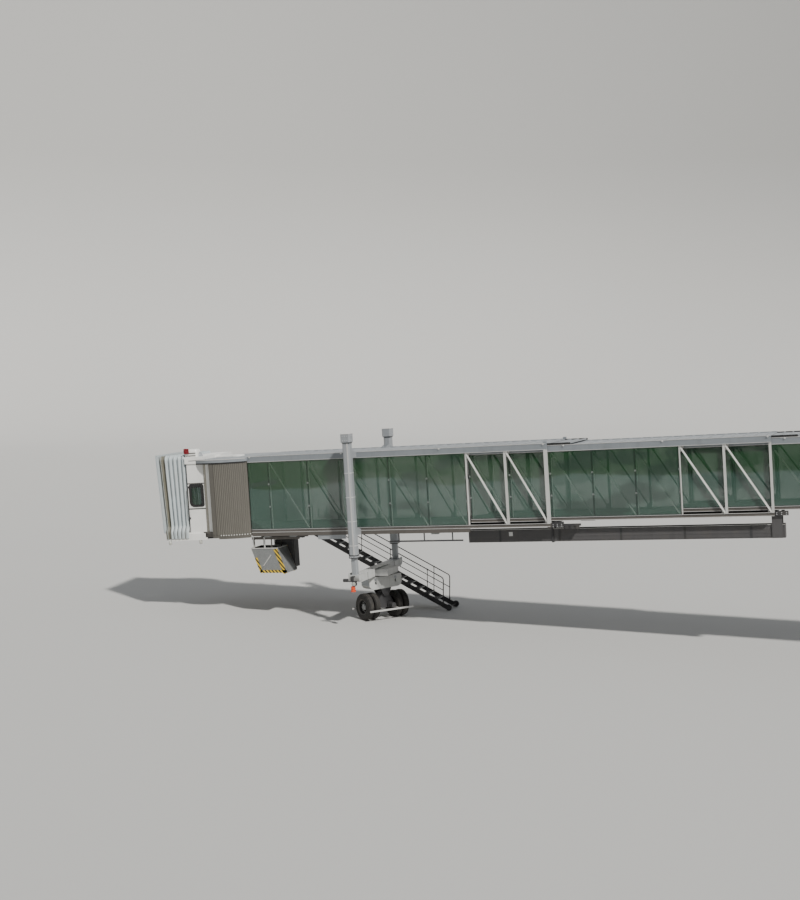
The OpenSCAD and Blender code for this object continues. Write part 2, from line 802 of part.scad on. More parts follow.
module turntable() {
  color("DimGray")
    on_pin() rotate(steer) union() {
      translate([0, 0, beam_low + beam_h]) cylinder(r = 440, h = ring_h - fit);
      for (x = [-beam_wide / 2, beam_wide / 2 - 70]) translate([x, 0, 0]) rotate([90, 0, 90]) linear_extrude(70)
        polygon([[-100, -110], [100, -110], [170, 0], [240, beam_low], [-240, beam_low], [-170, 0]]);
      rotate([0, 90, 0]) cylinder(r = 45, h = beam_wide + 20, center = true);
      both_ends() translate([beam_wide / 2, 0, 0]) rotate([0, 90, 0]) cylinder(r = 75, h = 16);
    }
}

module bogie_beam() {
  half = beam_len / 2;
  color("Silver")
    on_pin() rotate(steer) difference() {
      union() {
        translate([-beam_wide / 2, 0, 0]) rotate([90, 0, 90]) linear_extrude(beam_wide)
          polygon([[half, beam_low + beam_h], [-half, beam_low + beam_h], [-half, beam_low + 150],
            [-half + 70, beam_low + 45], [-half + 190, beam_low], [half - 190, beam_low],
            [half - 70, beam_low + 45], [half, beam_low + 150]]);
        for (y = [-180, 180]) translate([-beam_wide / 2 - 8, y - 8, beam_low + 10])
          cube([beam_wide + 16, 16, beam_h - 20]);
      }
      for (s = [-1, 1]) translate([-beam_wide / 2 - 1, s * 460 - 35, beam_low + 190]) cube([beam_wide + 2, 70, 110]);
    }
}

// half of the axle frame's length between the tyres, and half of its width between the lugs
block_half = pair_y - tyre_w - tyre_gap / 2 - 30;
block_x = beam_wide / 2 - 80;

module axle_frame() {
  color("DimGray")
    on_axle() union() {
      difference() {
        union() {
          rotate([0, 90, 0]) cylinder(r = 110, h = 2 * block_x, center = true);
          rotate([90, 0, 90]) linear_extrude(2 * block_x, center = true)
            polygon([[-block_half, -axle_drop - 90], [block_half, -axle_drop - 90], [block_half, -axle_drop + 150],
              [150, -40], [-150, -40], [-block_half, -axle_drop + 150]]);
        }
        rotate([0, 90, 0]) cylinder(r = 45 + fit, h = 520, center = true);
      }
      translate([0, 0, -axle_drop]) rotate([90, 0, 0]) cylinder(r = 70, h = 2 * pair_y + 400, center = true);
      for (s = [-1, 1]) translate([s * (block_x - 1), s * (block_half - 200), -axle_drop + 10]) rotate([0, s * 90, 0]) {
        cylinder(r = 115, h = 90);
        translate([0, 0, 89]) cylinder(r = 95, h = 190);
        translate([0, 0, 278]) cylinder(r = 102, h = 40);
      }
    }
}

module guard_bars() {
  color("Gainsboro")
    on_axle() translate([0, 0, -axle_drop]) both_ends() union() {
      translate([600, -pair_y - 330, -150]) cube([40, 2 * pair_y + 660, 60]);
      for (y = [15 - block_half, block_half - 45]) translate([0, y, 0]) rotate([90, 0, 0]) mirror([0, 0, 1])
        linear_extrude(30) polygon([[block_x, -80], [601, -150], [601, -90], [block_x, -30]]);
    }
}

module both_ends() {
  children();
  mirror([1, 0, 0]) children();
}

module wheel_pair(side) {
  on_axle() translate([0, side * pair_y, -axle_drop]) rotate([90, 0, 0]) difference() {
    union() {
      for (s = [-1, 1]) translate([0, 0, s * (tyre_w + tyre_gap) / 2]) rotate_extrude()
        polygon([[100, -30], [225, -30], [250, -tyre_w / 2 + 22], [300, -tyre_w / 2], [tyre_r - 60, -tyre_w / 2],
          [tyre_r - 8, -tyre_w / 2 + 40], [tyre_r, 0], [tyre_r - 8, tyre_w / 2 - 40], [tyre_r - 60, tyre_w / 2],
          [300, tyre_w / 2], [250, tyre_w / 2 - 22], [225, 0], [100, 0]]);
      cylinder(r = 150, h = tyre_w + tyre_gap + 50, center = true);
    }
    cylinder(r = 70 + fit, h = 900, center = true);
  }
}

module wheel_near() {
  color("DarkSlateGray") wheel_pair(-1);
}

module wheel_far() {
  color("DarkSlateGray") wheel_pair(1);
}

hinge_world_z = floor_height + (landing_z - pivot_z) * cos(slope) - stair_u * sin(slope);
hinge_world_x = -hinge_reach - stair_u * cos(slope) - (landing_z - pivot_z) * sin(slope);
stair_angle = asin((hinge_world_z - foot_r) / stair_run);

// frame of the stair: x runs down it from the hinge, level across
module on_stair() {
  translate([hinge_world_x, 0, hinge_world_z]) rotate([0, stair_angle, 0]) children();
}

module stair_landing() {
  y1 = stair_y0 + stair_w;
  color("DimGray")
    on_slope() union() {
      block(stair_u + 70, stair_u + 1100, 1500, y1, landing_z - 40, landing_z);
      for (y = [1540, y1 - 60]) block(stair_u + 70, stair_u + 1100, y, y + 60, landing_z - 160, landing_z - 39);
      for (u = [stair_u + 100, stair_u + 700]) block(u, u + 60, half_c, 1545, landing_z - 160, -20);
      for (y = [stair_y0 + 40, y1 - 60]) {
        block(stair_u, stair_u + 72, y, y + 20, landing_z - 40, landing_z);
        translate([-stair_u, y, landing_z]) rotate([-90, 0, 0]) cylinder(r = 40, h = 20);
      }
      translate([-stair_u, stair_y0 - 10, landing_z]) rotate([-90, 0, 0]) cylinder(r = 20, h = stair_w + 20);
    }
}

// two steps from the landing up to the service door
module door_steps() {
  color("DimGray")
    on_slope() union() {
      block(stair_u + 165, stair_u + 695, 1500, 1760, landing_z, landing_z + 180);
      block(stair_u + 165, stair_u + 695, 1500, 1620, landing_z + 179, landing_z + 360);
    }
}

// rails along the landing's far edge and across its end, each on its own posts
module landing_rails() {
  y1 = stair_y0 + stair_w;
  color("DimGray")
    on_slope() {
      union() {
        for (u = [stair_u + 330, stair_u + 1010]) block(u, u + 30, y1 - 30, y1, landing_z, landing_z + 1101);
        for (z = [550, 1100]) block(stair_u + 330, stair_u + 1060, y1 - 30, y1, landing_z + z, landing_z + z + 30);
      }
      union() {
        for (y = [1800, y1 - 70]) block(stair_u + 1070, stair_u + 1100, y, y + 30, landing_z, landing_z + 1101);
        for (z = [550, 1100])
          block(stair_u + 1070, stair_u + 1100, 1800, y1 - 40, landing_z + z, landing_z + z + 30);
      }
    }
}

module stair_flight() {
  pitch = (stair_run - 500) / steps;
  color("DimGray")
    on_stair() {
      difference() {
        union() {
          for (y = [stair_y0, stair_y0 + stair_w - 30]) {
            translate([90, y, -130]) cube([stair_run - 90, 30, 180]);
            translate([0, y, -60]) cube([91, 30, 110]);
            for (x = [0, stair_run]) translate([x, y, 0]) rotate([-90, 0, 0]) cylinder(r = 60, h = 30);
          }
          for (i = [0:steps - 1])
            translate([250 + i * pitch, stair_y0 + 29, 0]) rotate([0, -stair_angle, 0])
              translate([-140, 0, -15]) cube([280, stair_w - 58, 30]);
        }
        for (x = [0, stair_run]) translate([x, stair_y0 - 1, 0]) rotate([-90, 0, 0])
          cylinder(r = 20 + fit, h = stair_w + 2);
      }
    }
}

// handrail and knee rail on upright posts; the handrail bends down into the lowest post
module stair_rail(y) {
  bend = 150;
  foot = stair_run - 300;
  low = rail_h - bend + bend * sin(stair_angle);
  along = foot - (low - 50) * tan(stair_angle) - bend * cos(stair_angle);
  union() {
    translate([60, y, rail_h]) rotate([0, 90, 0]) cylinder(r = 20, h = along - 60);
    translate([along, y, rail_h - bend]) rotate([90, 0, 0]) rotate(stair_angle)
      rotate_extrude(angle = 90 - stair_angle) translate([bend, 0]) circle(r = 20, $fn = 32);
    upright(foot, y, low, 20);
    for (i = [0:3]) upright(260 + i * (along - 500) / 3, y, rail_h, 14);
    translate([60, y, 500]) rotate([0, 90, 0]) cylinder(r = 16, h = foot - 60 - 450 * tan(stair_angle));
  }
}

// post that stands upright from the stringer's top to a height square to the flight
module upright(x, y, top, r) {
  translate([x, y, 50]) intersection() {
    rotate([0, -stair_angle, 0]) translate([0, 0, -r]) cylinder(r = r, h = r + (top - 50) / cos(stair_angle));
    translate([-1000, -50, 0]) cube([2000, 100, 1200]);
  }
}

module stair_rails() {
  color("DimGray")
    on_stair() for (y = [stair_y0 + 15, stair_y0 + stair_w - 15]) stair_rail(y);
}

module stair_wheels() {
  color("DimGray")
    on_stair() translate([stair_run, stair_y0, 0]) rotate([-90, 0, 0]) union() {
      translate([0, 0, -70]) cylinder(r = foot_r, h = 60);
      translate([0, 0, stair_w + 10]) cylinder(r = foot_r, h = 60);
      translate([0, 0, -71]) cylinder(r = 20, h = stair_w + 142);
    }
}

terminal_column();
rotunda_floor();
rotunda_roof();
terminal_portal();
rotunda_curtains();
swing_frame();
tunnel_a_frames();
tunnel_a_glass();
tunnel_a_floor();
tunnel_a_roof();
tunnel_b_frames();
tunnel_b_glass();
tunnel_b_floor();
tunnel_b_roof();
tunnel_b_rollers();
cable_tray();
tunnel_c_frames();
tunnel_c_glass();
tunnel_c_floor();
tunnel_c_roof();
tunnel_c_rollers();
service_door();
lift_columns();
cable_rail();
cable_basket();
control_panel();
under_beams();
round_floor();
round_roof();
cab_curtains();
cab_floor();
cab_turntable();
cab_walls();
cab_window();
cab_roof();
cab_dome();
canopy_hoop();
canopy_bellows();
inner_columns();
cross_box();
beacon();
lamps();
turntable();
bogie_beam();
axle_frame();
guard_bars();
wheel_near();
wheel_far();
stair_landing();
door_steps();
landing_rails();
stair_flight();
stair_rails();
stair_wheels();
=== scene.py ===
"""Dresses a glass-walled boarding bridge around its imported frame: finishes, covers, fittings and stage."""

import itertools
import json
import math

import bmesh
import bpy
from mathutils import Matrix, Vector

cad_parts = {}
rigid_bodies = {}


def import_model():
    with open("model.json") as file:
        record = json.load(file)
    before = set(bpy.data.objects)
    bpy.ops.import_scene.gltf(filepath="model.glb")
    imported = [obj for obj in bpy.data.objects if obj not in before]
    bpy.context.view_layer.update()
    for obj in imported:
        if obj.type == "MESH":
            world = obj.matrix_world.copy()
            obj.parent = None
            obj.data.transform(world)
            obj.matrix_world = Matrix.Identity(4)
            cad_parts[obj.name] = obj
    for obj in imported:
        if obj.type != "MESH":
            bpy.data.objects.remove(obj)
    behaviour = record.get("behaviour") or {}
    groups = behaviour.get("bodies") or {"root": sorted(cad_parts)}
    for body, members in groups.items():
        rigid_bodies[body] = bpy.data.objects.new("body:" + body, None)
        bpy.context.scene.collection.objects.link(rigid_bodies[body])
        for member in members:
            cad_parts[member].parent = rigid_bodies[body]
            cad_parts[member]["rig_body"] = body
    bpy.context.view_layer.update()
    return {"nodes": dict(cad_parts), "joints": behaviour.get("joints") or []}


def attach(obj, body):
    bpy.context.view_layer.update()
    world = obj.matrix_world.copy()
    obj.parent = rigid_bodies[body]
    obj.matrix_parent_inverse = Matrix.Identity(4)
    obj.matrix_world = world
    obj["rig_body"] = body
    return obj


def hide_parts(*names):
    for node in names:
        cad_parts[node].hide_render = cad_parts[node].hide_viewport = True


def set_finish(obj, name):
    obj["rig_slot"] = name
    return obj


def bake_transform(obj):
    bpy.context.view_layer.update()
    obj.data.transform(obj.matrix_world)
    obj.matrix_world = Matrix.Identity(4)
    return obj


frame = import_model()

bl_info = {
    "name": "Boarding Bridge Dresser",
    "version": (1, 0, 0),
    "blender": (4, 5, 0),
    "location": "View3D > Sidebar > Bridge",
    "description": "Finishes, covers, fittings and stage for a boarding bridge frame",
    "category": "Object",
}

# Places that the frame's joints give
JOINTS = {joint["name"]: joint for joint in frame["joints"]}


def joint_at(name):
    return Vector(JOINTS[name]["pos_m"])


def joint_axis(name):
    return Vector(JOINTS[name]["axis"]).normalized()


def placed(x_axis, z_axis, origin):
    """Matrix of a right-handed local frame with these x and z axes at this origin."""
    x, z = Vector(x_axis).normalized(), Vector(z_axis).normalized()
    return Matrix.Translation(origin) @ Matrix((x, z.cross(x), z)).transposed().to_4x4()


def turn_about(axis, degrees):
    return Matrix.Rotation(math.radians(degrees), 4, axis)


PIVOT_RISE = 0.46
STEER = -33.0
ACROSS = Vector((0, 1, 0))
UP = -joint_axis("lift")
OUT = UP.cross(ACROSS)
GROUND = Matrix.Identity(4)
TUNNEL = placed(-OUT, UP, joint_at("tunnel_pitch") - PIVOT_RISE * UP)
CAB = placed(-joint_axis("canopy_slide"), UP, joint_at("cab_turn"))
STAIR_TOP, STAIR_FOOT = joint_at("stair_hinge"), joint_at("stair_wheels_roll")
STAIR = placed(STAIR_FOOT - STAIR_TOP, (STAIR_FOOT - STAIR_TOP).cross(ACROSS), STAIR_TOP)
PIN_AT = TUNNEL.inverted() @ joint_at("axle_rock")
PIN = TUNNEL @ Matrix.Translation(PIN_AT) @ turn_about("Z", STEER)
ROTUNDA_Z = joint_at("tunnel_pitch").z

# Sizes of the frame's pieces, in metres along, across and above the tunnels' own datum
POST_W = 0.08
GLASS_T = 0.02
FRAME_T = 0.078
CHORD_H = 0.125
ROOF_BEAM = 0.23
BAY = 1.5
WIDE_BAY = 1.66
OPEN_BAYS = 2
LIFT_U = 22.6
LIFT_Y = 2.015
COLUMN_W = 0.3
C_END = 27.1
ROUND_R = 1.95
ROUND_TOP = 2.8
CAB_HALF = 1.6
CAB_BACK = 0.87
CAB_WALL = 1.57
CAB_FRONT = 2.5
CAB_FLOOR = 0.11
CANOPY_TOP = 3.19
CANOPY_LEAN = 0.15
COVER_LEN = 0.85
TYRE_W = 0.235
TYRE_GAP = 0.06
BEAM_LOW = 0.18
BEAM_H = 0.48
BEAM_LEN = 1.5
BEAM_WIDE = 0.56
BOX_LOW = PIN_AT.z + BEAM_LOW + BEAM_H + 0.05
BOX_TOP = BOX_LOW + 0.28
BOX_HALF_WIDE = 0.21
STAIR_U = 26.3
STAIR_Y = 2.25
STAIR_W = 0.8
RAIL_H = 0.94
STEPS_IN_STAIR = 14
LANDING_Z = -0.43
ROTUNDA_R = 1.99
ROTUNDA_ROOM = 2.48
TUBE_R = 0.45

NEAR, FAR = 1, -1
BOTH = (NEAR, FAR)
TO_NEAR = (0, -1, 0)
UPRIGHT = Matrix(((1, 0, 0, 0), (0, 0, 1, 0), (0, 1, 0, 0), (0, 0, 0, 1)))


class Tunnel:
    """Wall places of one tunnel: posts out from the pitch hinge, half width, underside and top.

    Each run gives the first post, the last post and the spacing of a stretch of even bays.
    """

    def __init__(self, name, start, runs, half, low, top, open_bays=0):
        self.name, self.runs, self.half, self.low, self.top, self.open_bays = name, runs, half, low, top, open_bays
        self.posts = [start]
        for first, last, pitch in runs:
            self.posts += [self.posts[first] + i * pitch for i in range(1, last - first + 1)]
        self.face, self.sill, self.eave = -half, low + CHORD_H, top - ROOF_BEAM
        self.spot = (TUNNEL, name)


TUNNEL_A = Tunnel("tunnel_a", 0.19, ((0, 7, BAY),), 1.185, 0.38, 2.79)
TUNNEL_B = Tunnel("tunnel_b", 7.64, ((0, 7, BAY),), 1.335, 0.19, 2.875, OPEN_BAYS)
TUNNEL_C = Tunnel("tunnel_c", 15.25, ((0, 4, BAY), (4, 7, WIDE_BAY)), 1.485, 0.0, 2.96, OPEN_BAYS)
TUNNELS = (TUNNEL_A, TUNNEL_B, TUNNEL_C)

# Spots: the local frame in which a piece is made, and the body that it rides on
ON_B, ON_C = TUNNEL_B.spot, TUNNEL_C.spot
ON_CAB, ON_CANOPY = (CAB, "cab"), (CAB, "canopy")
ON_CARRIAGE, ON_BOGIE = (TUNNEL, "carriage"), (PIN, "bogie")
ON_STAIR = (STAIR, "stair")
ON_TERMINAL, ON_SWING = (GROUND, "terminal"), (GROUND, "swing")
ON_ROUND_END = (TUNNEL @ Matrix.Translation(TUNNEL.inverted() @ joint_at("cab_turn")), "tunnel_c")


# Node trees

def math_node(operation):
    """Method that adds one Math node for its two operands."""
    return lambda first, second: first.nodes.add("ShaderNodeMath", {"operation": operation}, {0: first, 1: second})


class Value:
    """A node's output that takes part in arithmetic; each operator adds the Math node it needs."""

    def __init__(self, nodes, socket):
        self.nodes, self.socket = nodes, socket

    __add__ = __radd__ = math_node("ADD")
    __sub__ = math_node("SUBTRACT")
    __mul__ = __rmul__ = math_node("MULTIPLY")
    __truediv__ = math_node("DIVIDE")
    __mod__ = math_node("FLOORED_MODULO")
    __gt__ = math_node("GREATER_THAN")


class Nodes:
    """Adds nodes to a shader or geometry tree."""

    def __init__(self, tree):
        self.tree = tree

    def add(self, kind, settings=None, inputs=None, out=0):
        """A node of this type: settings first, then socket values or links. Gives one output."""
        node = self.tree.nodes.new(kind)
        for key, value in (settings or {}).items():
            if key == "stops":
                self.set_stops(node.color_ramp, value)
            else:
                setattr(node, key, value)
        for key, value in (inputs or {}).items():
            self.feed(node.inputs[key], value)
        return Value(self, node.outputs[out])

    def feed(self, socket, value):
        if isinstance(value, Value):
            self.tree.links.new(value.socket, socket)
        else:
            socket.default_value = value

    @staticmethod
    def set_stops(ramp, stops):
        while len(ramp.elements) < len(stops):
            ramp.elements.new(0.5)
        for element, (position, colour) in zip(ramp.elements, stops):
            element.position = position
            element.color = colour

    def mix(self, factor, first, second):
        """Colour mix by a factor."""
        return self.add("ShaderNodeMix", {"data_type": "RGBA"}, {0: factor, 6: first, 7: second}, out=2)


class Finish(Nodes):
    """A material with one Principled shader and helpers that read Object coordinates."""

    def __init__(self, name, **constants):
        self.material = bpy.data.materials.new(name)
        self.material.use_nodes = True
        super().__init__(self.material.node_tree)
        self.shader = self.tree.nodes["Principled BSDF"]
        self.set(**constants)
        self.place = self.add("ShaderNodeTexCoord", out=3)

    def set(self, **sockets):
        """Sets the Principled shader's sockets; an underscore in a name is a space."""
        for key, value in sockets.items():
            self.feed(self.shader.inputs[key.replace("_", " ")], value)

    def moved(self, scale=(1, 1, 1), turn=(0, 0, 0)):
        return self.add("ShaderNodeMapping", None, {0: self.place, 2: turn, 3: scale})

    def noise(self, scale, detail=3.0, stretch=(1, 1, 1), roughness=0.5):
        return self.add("ShaderNodeTexNoise", None,
                        {"Vector": self.moved(stretch), "Scale": scale, "Detail": detail, "Roughness": roughness})

    def ramp(self, value, low, high):
        """0 below low, 1 above high, straight between."""
        return self.add("ShaderNodeMapRange", None, {0: value, 1: low, 2: high, 3: 0.0, 4: 1.0})

    def along(self, axis):
        """Distance of a point along a direction."""
        return self.add("ShaderNodeVectorMath", {"operation": "DOT_PRODUCT"}, {0: self.place, 1: axis}, out=1)

    def bump(self, height, strength, distance):
        self.set(Normal=self.add("ShaderNodeBump", None,
                                 {"Height": height, "Strength": strength, "Distance": distance}))


def shade(colour, factor):
    """A colour times a factor, opaque."""
    return tuple(min(1.0, c * factor) for c in colour[:3]) + (1.0,)


def wall_colour(tunnel, tone):
    """Colour rule of a tunnel's side frames: chord, roof beam, and posts that are bright in the open bays alone;
    behind the glass the same posts and diagonals take a dark tone, which is painted shade.
    """
    open_to = tunnel.posts[tunnel.open_bays] + POST_W if tunnel.open_bays else 0.0

    def rule(f, factor):
        height, reach = f.along(UP), f.along(OUT)
        base, start = UP.dot(TUNNEL.translation), OUT.dot(TUNNEL.translation)
        # Posts beyond the open bays get the dark tone: painted shade of the glazed bays, on the same paint as the
        # bright open posts.
        posts = f.mix(reach > start + open_to, shade(tone["post"], factor), shade(tone["inner_post"], factor))
        lower = f.mix(height > base + tunnel.sill, shade(tone["chord"], factor), posts)
        return f.mix(height > base + tunnel.eave, lower, shade(tone["beam"], factor))

    return rule


def painted(name, colour, roughness=0.42, grime=0.35, streaks=0.3, metallic=0.0, grain=900.0):
    """Sprayed paint on steel: soft mottling, rain streaks, a little grime and orange peel."""
    f = Finish(name, Metallic=metallic)
    mottle = f.noise(0.9, 5.0, roughness=0.6)
    run = f.ramp(f.noise(5.0, 4.0, stretch=(1, 1, 0.07)), 0.5, 0.78)
    dirt = f.ramp(f.noise(2.2, 8.0, roughness=0.7), 0.52, 0.8)
    tones = [colour(f, factor) if callable(colour) else shade(colour, factor) for factor in (0.9, 1.08, 0.55)]
    clean = f.mix(mottle, tones[0], tones[1])
    streaked = f.mix(run * streaks, clean, tones[2])
    f.set(Base_Color=f.mix(dirt * grime, streaked, (0.16, 0.14, 0.11, 1)),
          Roughness=roughness + dirt * 0.25 + (mottle - 0.5) * 0.1)
    f.bump(f.noise(grain, 2.0) * 0.4 + f.noise(14.0, 3.0) * 0.6, 0.12, 0.004)
    return f.material


def green_glass(name, tint, see_through=0.55, grime=0.25, upper=None):
    """Tinted safety glass: slow dark waves along it, dust, and a deeper tint above an uneven line."""
    f = Finish(name, Coat_Weight=1.0, Coat_Roughness=0.02, IOR=1.52)
    haze = f.ramp(f.noise(0.3, 3.0, stretch=(1, 1, 2.2)), 0.3, 0.8)
    dust = f.ramp(f.noise(9.0, 6.0, stretch=(1, 1, 0.3), roughness=0.7), 0.55, 0.8)
    colour = f.mix(haze * 0.5, shade(tint, 0.9), shade(tint, 1.35))
    wave = f.ramp(f.noise(0.42, 2.0, stretch=(1, 1, 2.6)), 0.56, 0.6)
    cover = (1.0 - see_through) + haze * 0.05 + dust * grime * 0.2 + wave * 0.15
    if upper:
        line = UP.dot(TUNNEL.translation) + upper[0]
        above = f.ramp(f.along(UP) + f.noise(0.33, 1.0, stretch=(1, 1, 0.1)) * 0.9, line + 0.45, line + 0.5)
        colour = f.mix(above, colour, upper[1])
        cover = cover + above * 0.06
    f.set(Base_Color=f.mix(wave * 0.6, colour, shade(tint, 0.3)), Roughness=0.05 + dust * 0.1, Alpha=cover)
    f.bump(f.noise(0.6, 1.0, stretch=(1, 1, 1.6)), 0.12, 0.01)
    return f.material


def rolled_aluminium(name, colour):
    """Anodised slats and strips: fine grain along their length, dull sheen and upright dust streaks."""
    f = Finish(name, Metallic=0.35)
    grain = f.noise(60.0, 3.0, stretch=(1, 1, 0.02))
    dull = f.noise(1.6, 5.0, stretch=(1, 1, 0.3))
    stain = f.ramp(f.noise(3.0, 6.0, stretch=(1, 1, 0.12), roughness=0.65), 0.55, 0.8)
    base = f.mix(grain, shade(colour, 0.86), shade(colour, 1.12))
    f.set(Base_Color=f.mix(stain * 0.35, base, shade(colour, 0.6)), Roughness=0.36 + dull * 0.22)
    f.bump(grain, 0.15, 0.002)
    return f.material


def galvanised(name, colour):
    """Zinc coat with its spangle, a dull sheen and rain marks."""
    f = Finish(name, Metallic=0.55)
    spangle = f.add("ShaderNodeTexVoronoi", None, {"Vector": f.place, "Scale": 38.0}, out=1)
    flake = f.add("ShaderNodeRGBToBW", None, {0: spangle})
    mark = f.ramp(f.noise(4.0, 6.0, stretch=(1, 1, 0.15), roughness=0.65), 0.5, 0.8)
    base = f.mix(flake, shade(colour, 0.82), shade(colour, 1.18))
    f.set(Base_Color=f.mix(mark * 0.4, base, shade(colour, 0.55)), Roughness=0.38 + flake * 0.2)
    f.bump(f.noise(120.0, 3.0), 0.1, 0.002)
    return f.material


def black_rubber(name, colour=(0.022, 0.022, 0.023), dust=0.35):
    """Matt rubber with a grey bloom and road dust."""
    f = Finish(name, Specular_IOR_Level=0.35)
    bloom = f.ramp(f.noise(6.0, 6.0, roughness=0.7), 0.45, 0.8)
    f.set(Base_Color=f.mix(bloom * dust, shade(colour, 1.0), (0.13, 0.12, 0.105, 1)),
          Roughness=0.7 + bloom * 0.2)
    f.bump(f.noise(160.0, 4.0), 0.3, 0.003)
    return f.material


def coated_fabric(name, colour):
    """Coated canopy cloth: a fine weave under the coat, creases with painted shade in their hollows, and rain stains.
    """
    f = Finish(name, Sheen_Weight=0.15, Sheen_Roughness=0.5)
    weave = [f.add("ShaderNodeTexWave", {"bands_direction": way}, {"Vector": f.place, "Scale": 95.0})
             for way in ("X", "Z")]
    crease = f.noise(3.2, 6.0, stretch=(1.4, 1.4, 0.35), roughness=0.6)
    stain = f.ramp(f.noise(1.7, 7.0, stretch=(1, 1, 0.25), roughness=0.7), 0.48, 0.8)
    # The tone follows the crease bump, darker in its hollows and lighter on its crests: painted shade and light on
    # the creases.
    base = f.mix(crease, shade(colour, 0.86), shade(colour, 1.1))
    f.set(Base_Color=f.mix(stain * 0.4, base, (0.36, 0.34, 0.28, 1)), Roughness=0.55 + stain * 0.2)
    f.bump(weave[0] * weave[1] * 0.12 + crease, 0.35, 0.012)
    return f.material


def hazard_paint(name, bright, pitch):
    """Slanting warning stripes, worn a little at random."""
    f = Finish(name)
    lean = f.add("ShaderNodeSeparateXYZ", None, {0: f.place}, out=0)
    rise = f.add("ShaderNodeSeparateXYZ", None, {0: f.place}, out=2)
    stripe = ((lean + rise) / pitch) % 1.0 > 0.5
    wear = f.ramp(f.noise(22.0, 6.0, roughness=0.7), 0.6, 0.72)
    f.set(Base_Color=f.mix(wear * 0.5, f.mix(stripe, bright, (0.02, 0.02, 0.02, 1)), (0.2, 0.19, 0.16, 1)),
          Roughness=0.45 + wear * 0.3)
    f.bump(stripe * 0.3 + wear, 0.1, 0.001)
    return f.material


def signal_lens(name, colour, glow):
    """Moulded lamp lens with ribs inside, drawn as light and dark bands: painted highlights where the ribs catch the
    light.
    """
    f = Finish(name, Coat_Weight=0.8, Coat_Roughness=0.05)
    rib = f.add("ShaderNodeTexWave", {"bands_direction": "Z"}, {"Vector": f.place, "Scale": 22.0})
    # The rib bands in the colour and in the glow are painted highlights.
    f.set(Base_Color=f.mix(rib, shade(colour, 0.75), shade(colour, 1.15)), Roughness=0.15 + rib * 0.1,
          Emission_Color=f.mix(rib, shade(colour, 0.8), shade(colour, 1.0)), Emission_Strength=glow)
    f.bump(rib, 0.4, 0.004)
    return f.material


def walkway_floor(name, colour):
    """Ribbed rubber walkway with a worn lane."""
    f = Finish(name)
    across = f.add("ShaderNodeSeparateXYZ", None, {0: f.place}, out=1)
    rib = (across / 0.03) % 1.0
    lane = f.ramp(f.noise(1.2, 4.0, stretch=(0.3, 2, 1)), 0.4, 0.7)
    f.set(Base_Color=f.mix(lane, shade(colour, 0.85), shade(colour, 1.15)), Roughness=0.6 + lane * 0.15)
    f.bump(rib, 0.3, 0.004)
    return f.material


class Palette:
    """Every finish, made once and looked up by name."""

    def __init__(self, colours):
        tone = {key: tuple(getattr(colours, key)) for key in colours.__annotations__}
        self.beam = painted("beam_paint", tone["beam"], 0.4, 0.2, 0.35)
        self.column = painted("column_paint", tone["column"], 0.38, 0.15, 0.3, metallic=0.15)
        self.post = painted("post_paint", tone["post"], 0.36, 0.15, 0.25, metallic=0.15)
        self.chord = painted("chord_paint", tone["chord"], 0.5, 0.4, 0.4)
        self.roof = painted("roof_paint", tone["roof"], 0.5, 0.35, 0.1)
        self.white = painted("white_paint", tone["white"], 0.34, 0.15, 0.22)
        self.box = painted("box_paint", tone["box"], 0.42, 0.3, 0.35)
        self.dark = painted("dark_paint", tone["dark"], 0.5, 0.35, 0.3)
        self.tray = painted("tray_paint", tone["tray"], 0.52, 0.3, 0.3)
        self.glass = green_glass("wall_glass", tone["glass"], upper=(1.7, tone["glass_top"]))
        self.pane = green_glass("cab_pane", shade(tone["glass"], 0.8), 0.8)
        self.slats = rolled_aluminium("curtain_slats", tone["slats"])
        self.alloy = rolled_aluminium("alloy_strip", tone["alloy"])
        self.zinc = galvanised("zinc_coat", tone["zinc"])
        self.frames = {t.name: painted(f"{t.name}_frame_paint", wall_colour(t, tone), 0.4, 0.2, 0.3, metallic=0.1)
                       for t in TUNNELS}
        self.rim = painted("rim_paint", (0.05, 0.048, 0.045, 1), 0.5, 0.6, 0.3)
        self.tape = coated_fabric("canopy_tape", shade(tone["fabric"], 0.85))
        # Near-black cloth for the tubes laid along the canopy's valleys: painted shade in the folds.
        self.crease = coated_fabric("canopy_crease", (0.05, 0.052, 0.05, 1))
        self.rubber = black_rubber("seal_rubber", dust=0.15)
        self.tyre = black_rubber("tyre_rubber", (0.026, 0.025, 0.024), 0.5)
        self.fabric = coated_fabric("canopy_fabric", tone["fabric"])
        self.lining = coated_fabric("canopy_lining", tone["lining"])
        self.bumper = coated_fabric("bumper_cover", shade(tone["fabric"], 0.92))
        self.hazard = hazard_paint("hazard_stripes", tone["hazard"], 0.16)
        self.amber = signal_lens("beacon_lens", tone["amber"], 0.25)
        self.lamp = signal_lens("lamp_lens", (0.5, 0.5, 0.46, 1), 0.02)
        self.drum = rolled_aluminium("curtain_drum", tone["drum"])
        self.rib = rolled_aluminium("curtain_rib", shade(tone["drum"], 0.56))
        self.red = painted("sign_paint", tone["red"], 0.35, 0.1, 0.1)
        self.floor = walkway_floor("walkway_rubber", (0.09, 0.09, 0.095, 1))
        self.bolt = galvanised("bolt_zinc", (0.55, 0.56, 0.57, 1))


# Shapes

def around(count, radius, start=0.0):
    """Points evenly spaced round a circle, the first at an angle in degrees."""
    angles = [math.radians(start) + 2 * math.pi * k / count for k in range(count)]
    return [(radius * math.cos(a), radius * math.sin(a)) for a in angles]


def linked(name, data):
    """Object of this data in the scene."""
    obj = bpy.data.objects.new(name, data)
    bpy.context.scene.collection.objects.link(obj)
    return obj


